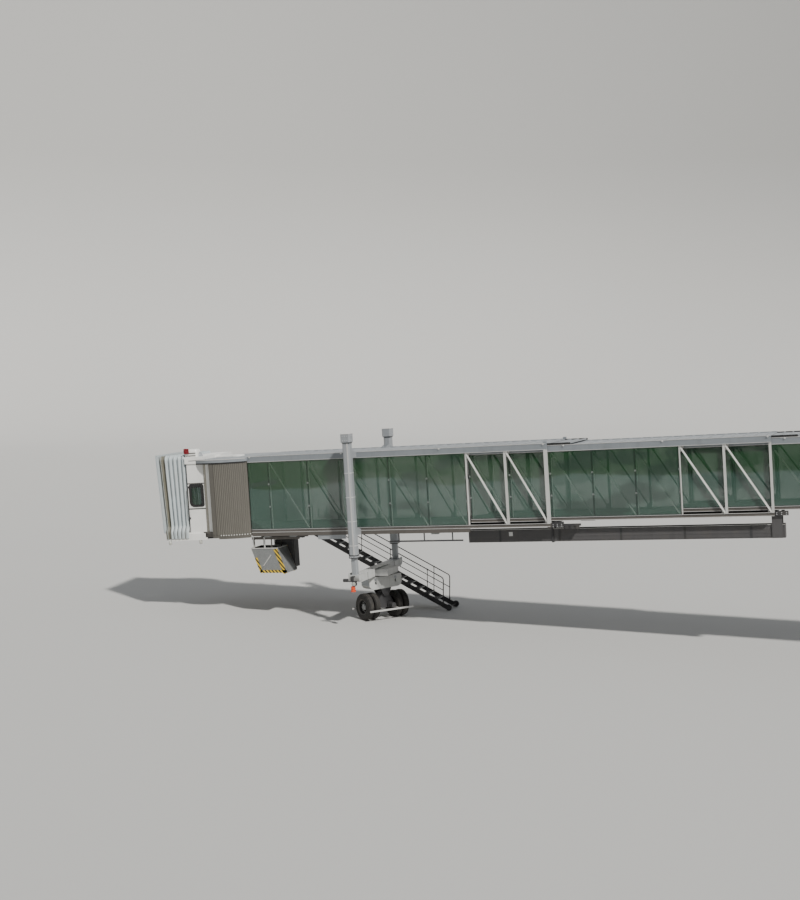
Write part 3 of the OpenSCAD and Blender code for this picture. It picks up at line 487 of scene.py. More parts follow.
class Shape:
    """Gathers closed forms in one local frame, then becomes a piece that rides on a body."""

    def __init__(self):
        self.mesh = bmesh.new()

    def skin(self, rings, closed=True, loop=False):
        """Faces between rings of points; closed rings join up, and a loop joins the last ring to the first."""
        verts = [[self.mesh.verts.new(p) for p in ring] for ring in rings]
        for a, b in zip(verts, verts[1:] + (verts[:1] if loop else [])):
            for i in range(len(a) if closed else len(a) - 1):
                j = (i + 1) % len(a)
                self.mesh.faces.new((a[i], a[j], b[j], b[i]))
        return verts

    def loft(self, rings, loop=False):
        """Skin over closed rings, with an end on each side unless it is a loop."""
        verts = self.skin(rings, loop=loop)
        if not loop:
            self.mesh.faces.new(verts[0][::-1])
            self.mesh.faces.new(verts[-1])
        return self

    def prism(self, outline, low, high, place=GROUND):
        """Outline of (x, y) points carried from z low to z high in a local frame."""
        return self.loft([[place @ Vector((x, y, z)) for x, y in outline] for z in (low, high)])

    def block(self, low, high, place=GROUND):
        """Box between two corners of a local frame."""
        (x0, y0, z0), (x1, y1, z1) = low, high
        return self.prism([(x0, y0), (x1, y0), (x1, y1), (x0, y1)], z0, z1, place)

    def sided(self, side, low, high):
        """Box given for the near wall, or its mirror image for the far wall."""
        (x0, y0, z0), (x1, y1, z1) = low, high
        return self.block(low, high) if side == NEAR else self.block((x0, -y1, z0), (x1, -y0, z1))

    def pair(self, low, high):
        """Box for the near wall and its mirror image for the far wall."""
        return self.sided(NEAR, low, high).sided(FAR, low, high)

    def bolt(self, centre, axis=TO_NEAR, radius=0.012, head=0.012):
        """Washer and hexagon head that stand on a face, out along an axis."""
        place = Matrix.Translation(centre) @ Vector(axis).to_track_quat("Z", "Y").to_matrix().to_4x4()
        self.prism(around(12, radius * 1.6), -0.001, head * 0.3, place)
        return self.prism(around(6, radius), head * 0.2, head, place)

    def bolts(self, xs, ys, zs, axis=TO_NEAR, radius=0.012, head=0.012):
        """A bolt at each point of a grid."""
        for centre in itertools.product(xs, ys, zs):
            self.bolt(centre, axis, radius, head)
        return self

    def welded(self):
        bmesh.ops.remove_doubles(self.mesh, verts=self.mesh.verts, dist=1e-5)
        return self

    def mirrored(self):
        """Adds the mirror image across the bridge's middle plane."""
        twin = bmesh.ops.duplicate(self.mesh, geom=self.mesh.verts[:] + self.mesh.edges[:] + self.mesh.faces[:])
        bmesh.ops.scale(self.mesh, verts=[e for e in twin["geom"] if isinstance(e, bmesh.types.BMVert)],
                        vec=(1, -1, 1))
        return self

    def turned(self, profile, segments=48, place=GROUND, closed=False):
        """Profile of (radius, z) points turned about z; closed joins its last point to its first."""
        rings = [[place @ Vector((r * x, r * y, z)) for r, z in profile] for x, y in around(segments, 1.0)]
        self.skin(rings, closed, loop=True)
        return self

    def rod(self, start, end, radius, sides=12):
        """Round bar between two points."""
        return self.tube((start, end), radius, sides)

    def tube(self, path, radius, sides=12):
        """Round tube that follows a path of points."""
        path = [Vector(p) for p in path]
        rings, side = [], None
        for before, p, after in zip(path[:1] + path, path, path[1:] + path[-1:]):
            ahead = (after - before).normalized()
            if side is None:
                side = ahead.orthogonal().normalized()
            side = (side - ahead * side.dot(ahead)).normalized()
            other = ahead.cross(side)
            rings.append([p + side * x + other * y for x, y in around(sides, radius)])
        return self.loft(rings)

    def arc(self, radius, width, low, high, start, end, steps=40):
        """Bar that follows an arc about z, angles in degrees."""
        rings = []
        for k in range(steps + 1):
            a = math.radians(start + (end - start) * k / steps)
            rings.append([(r * math.cos(a), r * math.sin(a), z) for r, z in
                          ((radius, low), (radius + width, low), (radius + width, high), (radius, high))])
        return self.loft(rings)

    def bevelled(self, width, segments=2):
        bmesh.ops.bevel(self.mesh, geom=[e for e in self.mesh.edges if e.is_manifold and e.calc_face_angle(0) > 0.5],
                        offset=width, segments=segments, affect="EDGES", clamp_overlap=True)
        return self

    def object(self, name, smooth=True):
        """Plain object in the local frame, its faces outward."""
        bmesh.ops.recalc_face_normals(self.mesh, faces=self.mesh.faces)
        data = bpy.data.meshes.new(name)
        self.mesh.to_mesh(data)
        self.mesh.free()
        if smooth:
            data.shade_smooth()
            data.set_sharp_from_angle(angle=math.radians(35))
        return linked(name, data)

    def piece(self, name, spot, material, slot, smooth=True):
        """Finished piece, moved from its local frame to its place and riding on a body."""
        return seat(self.object(name, smooth), spot, material, slot)


def seat(obj, spot, material, slot):
    place, body = spot
    obj.data.transform(place)
    obj.data.update()
    obj.data.materials.clear()
    obj.data.materials.append(material)
    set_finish(obj, slot)
    if body:
        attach(obj, body)
    return obj


def rounded(width, height, radius, steps=4):
    """Outline of a rectangle with round corners, about the origin."""
    x, y = width / 2 - radius, height / 2 - radius
    outline = []
    for cx, cy, start in ((x, y, 0), (-x, y, 90), (-x, -y, 180), (x, -y, 270)):
        for k in range(steps + 1):
            a = math.radians(start + 90 * k / steps)
            outline.append((cx + radius * math.cos(a), cy + radius * math.sin(a)))
    return outline


def grown(outline, by):
    """Outline moved outward by a distance, or inward where it is negative."""
    points = [Vector(p) for p in outline]
    centre = sum(points, Vector((0, 0))) / len(points)
    wide, tall = [max(abs(p[k] - centre[k]) for p in points) for k in (0, 1)]
    return [centre + Vector(((p.x - centre.x) * (1 + by / wide), (p.y - centre.y) * (1 + by / tall)))
            for p in points]


def softened(outline, radius, steps=5):
    """Outline with each corner rounded off."""
    points = [Vector(p) for p in outline]
    soft = []
    for i, p in enumerate(points):
        a = p + (points[i - 1] - p).normalized() * radius
        b = p + (points[(i + 1) % len(points)] - p).normalized() * radius
        for k in range(steps + 1):
            t = k / steps
            soft.append((1 - t) ** 2 * a + 2 * t * (1 - t) * p + t ** 2 * b)
    return soft


def smoothed(path, rounds):
    """Path with its corners cut again and again."""
    path = [Vector(p) for p in path]
    for _ in range(rounds):
        cut = [q for a, b in zip(path, path[1:]) for q in (a.lerp(b, 0.25), a.lerp(b, 0.75))]
        path = [path[0]] + cut + [path[-1]]
    return path


def box_of(node):
    """Lowest and highest corner of a CAD node along the tunnels' axes."""
    move = TUNNEL.inverted() @ frame["nodes"][node].matrix_world
    points = [move @ v.co for v in frame["nodes"][node].data.vertices]
    return [Vector([pick(p[k] for p in points) for k in range(3)]) for pick in (min, max)]


# Repeats, made by geometry nodes

def repeat_tree():
    """Tree that repeats its source in rows along two steps, each copy turned on from the last."""
    tree = bpy.data.node_groups.new("repeat", "GeometryNodeTree")
    sockets = [("Geometry", "NodeSocketGeometry"), ("Count", "NodeSocketInt"), ("Start", "NodeSocketVector"),
               ("Step", "NodeSocketVector"), ("Turn", "NodeSocketFloat"), ("Rows", "NodeSocketInt"),
               ("Row Step", "NodeSocketVector"), ("Material", "NodeSocketMaterial")]
    for name, kind in sockets:
        tree.interface.new_socket(name, in_out="INPUT", socket_type=kind)
    tree.interface.new_socket("Geometry", in_out="OUTPUT", socket_type="NodeSocketGeometry")
    nodes = Nodes(tree)
    group = tree.nodes.new("NodeGroupInput")
    given = {name: Value(nodes, group.outputs[name]) for name, _ in sockets}
    line = nodes.add("GeometryNodeMeshLine", {"mode": "OFFSET", "count_mode": "TOTAL"},
                     {"Count": given["Count"], "Start Location": given["Start"], "Offset": given["Step"]})
    angle = nodes.add("GeometryNodeInputIndex") * given["Turn"]
    turn = nodes.add("ShaderNodeCombineXYZ", None, {2: angle})
    row = nodes.add("GeometryNodeInstanceOnPoints", None,
                    {"Points": line, "Instance": given["Geometry"], "Rotation": turn})
    rows = nodes.add("GeometryNodeMeshLine", {"mode": "OFFSET", "count_mode": "TOTAL"},
                     {"Count": given["Rows"], "Offset": given["Row Step"]})
    all_rows = nodes.add("GeometryNodeInstanceOnPoints", None, {"Points": rows, "Instance": row})
    real = nodes.add("GeometryNodeRealizeInstances", None, {0: all_rows})
    done = nodes.add("GeometryNodeSetMaterial", None, {"Geometry": real, "Material": given["Material"]})
    out = tree.nodes.new("NodeGroupOutput")
    tree.links.new(done.socket, out.inputs[0])
    return tree


def repeated(shape, name, spot, material, slot, count=1, start=(0, 0, 0), step=(0, 0, 0), turn=0.0,
             rows=1, row_step=(0, 0, 0), smooth=True):
    """Piece made of one shape repeated by the repeat tree."""
    tree = bpy.data.node_groups.get("repeat") or repeat_tree()
    source = shape.object(name + "_source", smooth)
    modifier = source.modifiers.new("repeat", "NODES")
    modifier.node_group = tree
    values = {"Count": count, "Start": start, "Step": step, "Turn": turn, "Rows": rows, "Row Step": row_step,
              "Material": material}
    for item in tree.interface.items_tree:
        if item.in_out == "INPUT" and item.name in values:
            modifier[item.identifier] = values[item.name]
    bpy.context.view_layer.update()
    shaped = source.evaluated_get(bpy.context.evaluated_depsgraph_get())
    data = bpy.data.meshes.new_from_object(shaped)
    data.name = name
    bpy.data.objects.remove(source)
    return seat(linked(name, data), spot, material, slot)


def joined(name, objects):
    """One piece out of several that share a body and a material."""
    first = objects[0]
    body, slot, material = first["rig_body"], first["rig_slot"], first.data.materials[0]
    mesh = bmesh.new()
    for obj in objects:
        mesh.from_mesh(obj.data)
        bpy.data.objects.remove(obj)
    data = bpy.data.meshes.new(name)
    mesh.to_mesh(data)
    mesh.free()
    return seat(linked(name, data), (GROUND, body), material, slot)


def finish_of(name, value, description):
    return bpy.props.FloatVectorProperty(name=name, description=description, subtype="COLOR", size=4,
                                         min=0.0, max=1.0, default=value)


class BridgeColours(bpy.types.PropertyGroup):
    """Colours of the bridge's finishes."""

    beam: finish_of("Roof beams", (0.26, 0.285, 0.31, 1), "Paint of the roof edge beams")
    column: finish_of("Columns", (0.34, 0.36, 0.38, 1), "Paint of the lift columns")
    post: finish_of("Open posts", (0.62, 0.62, 0.6, 1), "Paint of the posts and diagonals in the open bays")
    # Dark tone of the posts behind glass: painted shade, since the paint is the same as the open posts'.
    inner_post: finish_of("Glazed posts", (0.055, 0.06, 0.058, 1), "Paint of the posts and diagonals behind glass")
    chord: finish_of("Chords", (0.115, 0.105, 0.095, 1), "Paint of the bottom chords")
    roof: finish_of("Roof", (0.32, 0.34, 0.36, 1), "Paint of the roof sheets")
    white: finish_of("Cab", (0.86, 0.86, 0.83, 1), "Paint of the cab's walls and roof")
    box: finish_of("Cross box", (0.52, 0.53, 0.52, 1), "Paint of the box between the lift columns")
    dark: finish_of("Undergear", (0.045, 0.045, 0.048, 1), "Paint of the drive, stair and brackets")
    tray: finish_of("Tray", (0.085, 0.083, 0.085, 1), "Paint of the cable tray")
    glass: finish_of("Glass", (0.07, 0.145, 0.112, 1), "Tint of the wall glass")
    glass_top: finish_of("Upper glass", (0.025, 0.085, 0.035, 1), "Tint of the glass above eye level")
    slats: finish_of("Curtains", (0.15, 0.142, 0.125, 1), "Anodising of the slatted curtains")
    drum: finish_of("Curtain drums", (0.37, 0.352, 0.305, 1), "Anodising of the curtain drums")
    alloy: finish_of("Strips", (0.66, 0.66, 0.65, 1), "Anodising of glazing strips and small clamps")
    zinc: finish_of("Basket", (0.3, 0.31, 0.31, 1), "Zinc coat of the cable basket")
    fabric: finish_of("Canopy", (0.5, 0.56, 0.58, 1), "Cloth of the canopy's folds")
    # A darker cloth tone for the canopy's deep first fold.
    lining: finish_of("Canopy front fold", (0.15, 0.145, 0.11, 1), "Cloth of the canopy's deep first fold")
    hazard: finish_of("Warning stripes", (0.82, 0.56, 0.03, 1), "Bright colour of the warning stripes")
    amber: finish_of("Beacon", (0.8, 0.07, 0.008, 1), "Lens of the beacon")
    red: finish_of("Sign", (0.2, 0.008, 0.014, 1), "Paint of the bare sign board")


class BridgeStage(bpy.types.PropertyGroup):
    """Camera, light and floor."""

    camera_place: bpy.props.FloatVectorProperty(
        name="Camera place", description="Where the camera stands, beyond the near side", subtype="TRANSLATION",
        unit="LENGTH", default=(-6.24, -44.35, 9.87))
    heading: bpy.props.FloatProperty(
        name="Heading", description="Turn of the camera from straight across towards the aircraft end",
        subtype="ANGLE", default=math.radians(21.52))
    dip: bpy.props.FloatProperty(
        name="Dip", description="Fall of the camera's line of sight", subtype="ANGLE", default=math.radians(4.04))
    lens: bpy.props.FloatProperty(
        name="Lens", description="Focal length of the camera", unit="CAMERA", default=50.24)
    sun_strength: bpy.props.FloatProperty(
        name="Key light", description="Strength of the key light", min=0.0, default=4.4)
    sky_strength: bpy.props.FloatProperty(
        name="Fill light", description="Strength of the light from all round", min=0.0, default=0.5)
    floor_radius: bpy.props.FloatProperty(
        name="Floor radius", description="Radius of the flat floor", unit="LENGTH", default=110.0)


PALETTE = {}


def palette():
    """The finishes, made when first asked for."""
    if "made" not in PALETTE:
        PALETTE["made"] = Palette(bpy.context.scene.bridge_colours)
    return PALETTE["made"]


class BRIDGE_OT_stage(bpy.types.Operator):
    """Sets up the pale floor, the soft light and the camera"""

    bl_idname = "bridge.stage"
    bl_label = "Stage"

    def execute(self, context):
        stage = context.scene.bridge_stage
        self.add_floor(stage.floor_radius)
        self.add_light(context, stage)
        self.add_camera(context, stage)
        return {"FINISHED"}

    def add_floor(self, radius):
        rise = 40.0
        profile = [(0.0, 0.0), (radius, 0.0)]
        profile += [(radius + rise * math.sin(a), rise - rise * math.cos(a))
                    for a in (math.radians(9 * k) for k in range(1, 11))]
        profile += [(radius + rise, 3 * rise)]
        shape = Shape().turned(profile, 96)
        bmesh.ops.remove_doubles(shape.mesh, verts=shape.mesh.verts, dist=1e-4)
        floor = shape.object("studio_floor")
        floor.location = (-16, 0, 0)
        f = Finish("studio_grey")
        tone = f.noise(0.02, 2.0)
        f.set(Base_Color=f.mix(tone, (0.46, 0.46, 0.45, 1), (0.5, 0.5, 0.49, 1)), Roughness=0.8 + tone * 0.1)
        floor.data.materials.append(f.material)

    def add_light(self, context, stage):
        world = bpy.data.worlds.new("studio")
        world.use_nodes = True
        world.node_tree.nodes["Background"].inputs[0].default_value = (0.86, 0.9, 0.96, 1)
        world.node_tree.nodes["Background"].inputs[1].default_value = stage.sky_strength
        context.scene.world = world
        sun = bpy.data.lights.new("key", "SUN")
        sun.energy = stage.sun_strength
        sun.angle = math.radians(3)
        sun.color = (1.0, 0.97, 0.92)
        lamp = linked("key", sun)
        lamp.rotation_mode = "QUATERNION"
        lamp.rotation_quaternion = Vector((-0.6, 0.42, -0.8)).to_track_quat("-Z", "Y")

    def add_camera(self, context, stage):
        data = bpy.data.cameras.new("view")
        data.lens = stage.lens
        data.clip_end = 1000
        camera = linked("view", data)
        camera.location = stage.camera_place
        camera.rotation_mode = "QUATERNION"
        ahead = Vector((-math.sin(stage.heading) * math.cos(stage.dip),
                        math.cos(stage.heading) * math.cos(stage.dip), -math.sin(stage.dip)))
        camera.rotation_quaternion = ahead.to_track_quat("-Z", "Y")
        context.scene.camera = camera


class BRIDGE_OT_paint(bpy.types.Operator):
    """Gives every node of the frame its finish"""

    bl_idname = "bridge.paint"
    bl_label = "Paint the frame"

    def execute(self, context):
        look = palette()
        finishes = {
            look.column: ["terminal_column", "lift_columns", "inner_columns"],
            look.frames["tunnel_a"]: ["tunnel_a_frames"],
            look.frames["tunnel_b"]: ["tunnel_b_frames"],
            look.frames["tunnel_c"]: ["tunnel_c_frames"],
            look.beam: ["swing_frame", "round_roof"],
            look.roof: ["cab_dome", "tunnel_a_roof", "tunnel_b_roof", "tunnel_c_roof", "rotunda_roof"],
            look.chord: ["rotunda_floor", "under_beams", "round_floor"],
            look.white: ["service_door", "terminal_portal", "cab_floor", "cab_walls", "cab_roof"],
            look.box: ["cross_box", "bogie_beam"],
            look.dark: ["tunnel_b_rollers", "tunnel_c_rollers", "cable_rail", "control_panel", "cab_turntable",
                        "turntable", "axle_frame", "stair_landing", "door_steps", "stair_flight", "stair_rails",
                        "landing_rails", "stair_wheels", "lamps"],
            look.tray: ["cable_tray"],
            look.glass: ["tunnel_a_glass", "tunnel_b_glass", "tunnel_c_glass"],
            look.pane: ["cab_window"],
            look.slats: ["rotunda_curtains", "cab_curtains"],
            look.zinc: ["cable_basket"],
            look.fabric: ["canopy_bellows"],
            look.bumper: ["canopy_hoop"],
            look.tyre: ["wheel_near", "wheel_far"],
            look.amber: ["beacon"],
            look.alloy: ["guard_bars"],
            look.floor: ["tunnel_a_floor", "tunnel_b_floor", "tunnel_c_floor"],
        }
        for material, names in finishes.items():
            for name in names:
                data = frame["nodes"][name].data
                data.materials.clear()
                data.materials.append(material)
        left = set(frame["nodes"]) - {name for names in finishes.values() for name in names}
        if left:
            raise RuntimeError(f"these nodes have no finish: {sorted(left)}")
        return {"FINISHED"}


# Details on the tunnels

def glazed_posts(tunnel, side):
    """Post places that carry glass on one side; the outer tunnel's near side has one bay more than its far side."""
    posts = tunnel.posts[tunnel.open_bays:]
    return posts + [C_END] if tunnel is TUNNEL_C and side == NEAR else posts


class BRIDGE_OT_glazing(bpy.types.Operator):
    """Seals between the panes, seal lines round them and small clamps on the posts"""

    bl_idname = "bridge.glazing"
    bl_label = "Glazing"

    def execute(self, context):
        look = palette()
        for tunnel in TUNNELS:
            low, high, face = tunnel.sill, tunnel.eave, tunnel.face
            seals = Shape()
            for side in BOTH:
                posts = glazed_posts(tunnel, side)
                for u in posts[:-1]:
                    seals.sided(side, (-u - 0.007, face - 0.003, low), (-u + 0.007, face + GLASS_T, high))
                for z in (low, high - 0.016):
                    seals.sided(side, (-posts[-1], face - 0.004, z), (-posts[0], face + 0.001, z + 0.016))
            seals.piece(f"{tunnel.name}_seals", tunnel.spot, look.rubber, "dark_steel", smooth=False)
            self.add_clamps(tunnel, look)
            self.add_edges(tunnel, look)
        return {"FINISHED"}

    def add_clamps(self, tunnel, look):
        """Two clamps on each glazed post, on both sides."""
        face, rise = tunnel.face, (tunnel.eave - tunnel.sill) / 3
        made = []
        for first, last, pitch in tunnel.runs:
            run = tunnel.posts[max(tunnel.open_bays, first + 1 if first else 0):last + 1]
            clamp = Shape().block((-0.03, face - 0.01, -0.03), (0.03, face - 0.001, 0.03)).bevelled(0.003)
            clamp.bolts((-0.016, 0.016), (face - 0.009,), (0,), TO_NEAR, 0.006, 0.006).mirrored()
            made.append(repeated(clamp, f"{tunnel.name}_clamps_{first}", tunnel.spot, look.zinc, "frame_paint",
                                 count=len(run), start=(-run[0], 0, tunnel.sill + rise), step=(-pitch, 0, 0),
                                 rows=2, row_step=(0, 0, rise)))
        joined(f"{tunnel.name}_clamps", made)

    def add_edges(self, tunnel, look):
        """Light strips on the edges of the glazed posts and of all diagonals, which show through the glass: painted
        highlights of their lit edges.
        """
        low, high, y = tunnel.sill, tunnel.eave, tunnel.face + GLASS_T
        edge = Shape()
        for u in tunnel.posts[tunnel.open_bays:]:
            x = POST_W / 2 - u
            edge.pair((x - 0.022, y + 0.0005, low + 0.02), (x + 0.004, y + 0.07, high - 0.02))
        for u0, u1 in zip(tunnel.posts, tunnel.posts[1:]):
            start = Vector((-u0 - POST_W / 2 - 0.01, low + 0.01))
            end = Vector((-u1 + POST_W / 2 + 0.01, high - 0.01))
            rise = Vector((start.y - end.y, end.x - start.x)).normalized() * 0.025
            line = [start - rise, end - rise, end + rise, start + rise]
            for side in BOTH:
                near, deep = sorted((side * (y + 0.0055), side * (y + 0.0105)))
                edge.prism([tuple(q) for q in line], near, deep, UPRIGHT)
        edge.piece(f"{tunnel.name}_post_edges", tunnel.spot, look.white, "frame_paint", smooth=False)


class BRIDGE_OT_trims(bpy.types.Operator):
    """Sill strips, drip edges, knobs and the black skirts of the roof covers"""

    bl_idname = "bridge.trims"
    bl_label = "Trims"

    KNOB = [(0.0, 0.0), (0.032, 0.0), (0.032, 0.01), (0.022, 0.014), (0.032, 0.022), (0.028, 0.034), (0.012, 0.04),
            (0.0, 0.042)]
    BOXES = (19.6, 25.4, 26.5)

    def execute(self, context):
        look = palette()
        for tunnel in TUNNELS:
            first, last = tunnel.posts[0] - POST_W / 2, tunnel.posts[-1] + POST_W / 2
            if tunnel is TUNNEL_C:
                last = C_END
            face, sill, eave = tunnel.face, tunnel.sill, tunnel.eave
            strip = Shape()
            strip.pair((-last, face - 0.012, sill - 0.016), (-first, face, sill))
            strip.pair((-last, face - 0.008, tunnel.low + 0.002), (-first, face, tunnel.low + 0.02))
            strip.pair((-last, face - 0.01, tunnel.top - 0.018), (-first, face, tunnel.top - 0.001))
            strip.pair((-last, face - 0.006, eave), (-first, face, eave + 0.016))
            strip.bevelled(0.002, 1)
            strip.piece(f"{tunnel.name}_strips", tunnel.spot, look.alloy, "frame_paint", smooth=False)
            # Thin dark strip just under the sill strip: painted shade under its edge.
            gap_shade_strip = Shape().pair((-last, face - 0.003, sill - 0.036), (-first, face, sill - 0.016))
            gap_shade_strip.piece(f"{tunnel.name}_shadow_gap", tunnel.spot, look.rubber, "dark_steel", smooth=False)
            self.add_splices(tunnel, first, last, look)
            if tunnel is not TUNNEL_A:
                self.add_cover(tunnel, first, look)
        self.add_underside(look)
        return {"FINISHED"}

    def add_splices(self, tunnel, first, last, look):
        """Bolted splice plates and lifting knobs along the roof beam."""
        face, top = tunnel.face, tunnel.top
        plate = Shape().block((-0.11, face - 0.006, top - 0.2), (0.11, face - 0.0005, top - 0.03))
        plate.bolts((-0.08, -0.03, 0.03, 0.08), (face - 0.006,), (top - 0.17, top - 0.06), TO_NEAR, 0.008, 0.008)
        plate.mirrored()
        count = int((last - first) // (2 * BAY))
        repeated(plate, f"{tunnel.name}_splices", tunnel.spot, look.beam, "frame_paint",
                 count=count, start=(-(first + 1.5 * BAY), 0, 0), step=(-2 * BAY, 0, 0))
        knob = Shape().turned(self.KNOB, 20, Matrix.Translation((0, face, top - 0.035)) @ turn_about("X", 90))
        knob.welded().mirrored()
        repeated(knob, f"{tunnel.name}_knobs", tunnel.spot, look.alloy, "frame_paint",
                 count=count + 1, start=(-(first + 0.1), 0, 0), step=(-(last - first - 0.2) / count, 0, 0))

    def add_cover(self, tunnel, first, look):
        """Black skirts down both sides of the cover over the next roof."""
        y, top = tunnel.face + 0.15, tunnel.top
        skirt = Shape().pair((-first, y - 0.006, top - 0.079), (COVER_LEN - first, y + 0.012, top - 0.012))
        skirt.bevelled(0.003, 1)
        skirt.piece(f"{tunnel.name}_cover_skirt", tunnel.spot, look.rubber, "dark_steel", smooth=False)

    def add_underside(self, look):
        """Light channel and its junction boxes along the outer tunnel's bottom chord."""
        y = TUNNEL_C.face
        rail = Shape().block((-24.3, y + 0.02, -0.3), (-23.15, y + 0.09, -0.13)).bevelled(0.006)
        rail.bolts((-24.2, -23.9, -23.6, -23.3), (y + 0.02,), (-0.21,), TO_NEAR, 0.012, 0.01)
        rail.piece("chord_channel", ON_C, look.column, "column_paint")
        boxes = Shape()
        for u in self.BOXES:
            boxes.block((-u - 0.14, y + 0.1, -0.2), (-u + 0.14, y + 0.22, 0.0))
        boxes.bevelled(0.008)
        for u in self.BOXES:
            boxes.bolts((-u - 0.11, -u + 0.11), (y + 0.1,), (-0.17, -0.03), TO_NEAR, 0.006, 0.006)
        boxes.piece("junction_boxes", ON_C, look.zinc, "basket_steel")


class BRIDGE_OT_gussets(bpy.types.Operator):
    """Bolted plates where the wall diagonals meet the chords"""

    bl_idname = "bridge.gussets"
    bl_label = "Gussets"

    FOOT = [(0.04, 0.0), (-0.17, 0.0), (-0.17, 0.04), (-0.12, 0.15), (-0.04, 0.22), (0.04, 0.22)]
    PLATE = 0.009
    BOLTS = [(0.0, 0.06), (0.0, 0.12), (0.0, 0.18), (-0.07, 0.09), (-0.1, 0.13), (-0.13, 0.025)]

    def gusset(self, face, level, sense):
        """Plate with bolts on a wall face; sense 1 stands on the chord, -1 hangs from the roof beam."""
        plate = Shape()
        plate.prism([(x * sense, level + z * sense) for x, z in self.FOOT], face, face + self.PLATE, UPRIGHT)
        for x, z in self.BOLTS:
            plate.bolt((x * sense, face + self.PLATE, level + z * sense), (0, 1, 0), 0.011, 0.011)
        return plate.mirrored()

    def execute(self, context):
        look = palette()
        for tunnel in TUNNELS:
            inner = tunnel.face + GLASS_T + FRAME_T
            made = []
            for start, end, pitch in tunnel.runs:
                for sense, level, shift in ((1, tunnel.sill, 0), (-1, tunnel.eave, 1)):
                    made.append(repeated(self.gusset(inner, level, sense), f"gusset_{start}_{shift}", tunnel.spot,
                                         look.frames[tunnel.name], "frame_paint", count=end - start,
                                         start=(-tunnel.posts[start + shift], 0, 0), step=(-pitch, 0, 0)))
            joined(f"{tunnel.name}_gussets", made)
        return {"FINISHED"}


class BRIDGE_OT_curtains(bpy.types.Operator):
    """Guides and foot studs of the slatted curtains, and the rim trims of the round end"""

    bl_idname = "bridge.curtains"
    bl_label = "Curtains"

    SIDES = ({"slats": (272, 309), "seal": (264, 269.5), "studs": 184.5, "ribs": 270.6},
             {"slats": (51, 88), "seal": (90.5, 96), "studs": 322, "ribs": 52.5})
    STUD = [(0.0, 0.0), (0.022, 0.0), (0.022, 0.01), (0.014, 0.022), (0.0, 0.026)]
    RIB = [(0.002, -0.021), (0.016, -0.016), (0.025, 0.0), (0.016, 0.016), (0.002, 0.021)]

    def execute(self, context):
        look = palette()
        top = ROUND_TOP - 0.06
        guides, studs, ribs = Shape(), [], []
        for i, side in enumerate(self.SIDES):
            guides.arc(ROUND_R + 0.014, 0.02, -0.17, -0.125, *side["slats"])
            guides.arc(ROUND_R + 0.002, 0.022, 0.0, top, *side["seal"], 4)
            at = turn_about("Z", side["studs"]) @ Matrix.Translation((0, ROUND_R + 0.008, -0.03))
            stud = Shape().turned(self.STUD, 12, at @ turn_about("X", -90)).welded()
            studs.append(repeated(stud, f"studs_{i}", ON_ROUND_END, look.white, "white_panel", count=12,
                                  turn=math.radians(3.05)))
            rib = Shape().prism([(ROUND_R + x, y) for x, y in self.RIB], 0.0, top, turn_about("Z", side["ribs"]))
            ribs.append(repeated(rib, f"ribs_{i}", ON_ROUND_END, look.rib, "curtain_slats", count=18,
                                 turn=math.radians(2.16)))
        guides.piece("curtain_foot_guides", ON_ROUND_END, look.slats, "curtain_slats", smooth=False)
        joined("curtain_foot_studs", studs)
        joined("curtain_ribs", ribs)
        rim = Shape()
        rim.arc(ROUND_R + 0.035, 0.014, ROUND_TOP + 0.1, ROUND_TOP + 0.128, 52, 308, 80)
        rim.piece("round_roof_rim", ON_ROUND_END, look.alloy, "frame_paint", smooth=False)
        drip = Shape()
        drip.arc(ROUND_R + 0.004, 0.03, ROUND_TOP - 0.05, ROUND_TOP, 52, 308, 80)
        drip.piece("round_roof_seal", ON_ROUND_END, look.rubber, "dark_steel", smooth=False)
        self.add_rotunda(look)
        return {"FINISHED"}

    def add_rotunda(self, look):
        """Guides above and below the rotunda's curtains and the roof's edge trim."""
        floor, roof = ROTUNDA_Z, ROTUNDA_Z + ROTUNDA_ROOM
        guides = Shape()
        for start, end in ((36, 148), (212, 324)):
            for low, high in ((floor - 0.05, floor + 0.03), (roof - 0.07, roof - 0.005)):
                guides.arc(ROTUNDA_R + 0.062, 0.016, low, high, start, end, 60)
        guides.piece("rotunda_guides", ON_TERMINAL, look.alloy, "frame_paint", smooth=False)
        edge = Shape()
        edge.arc(2.222, 0.014, roof + 0.02, roof + 0.11, 0, 359.99, 120)
        edge.piece("rotunda_roof_edge", ON_TERMINAL, look.beam, "frame_paint", smooth=False)


# Canopy

FOLDS = 6
FRONT_FOLD = 5
SKIN = 0.006


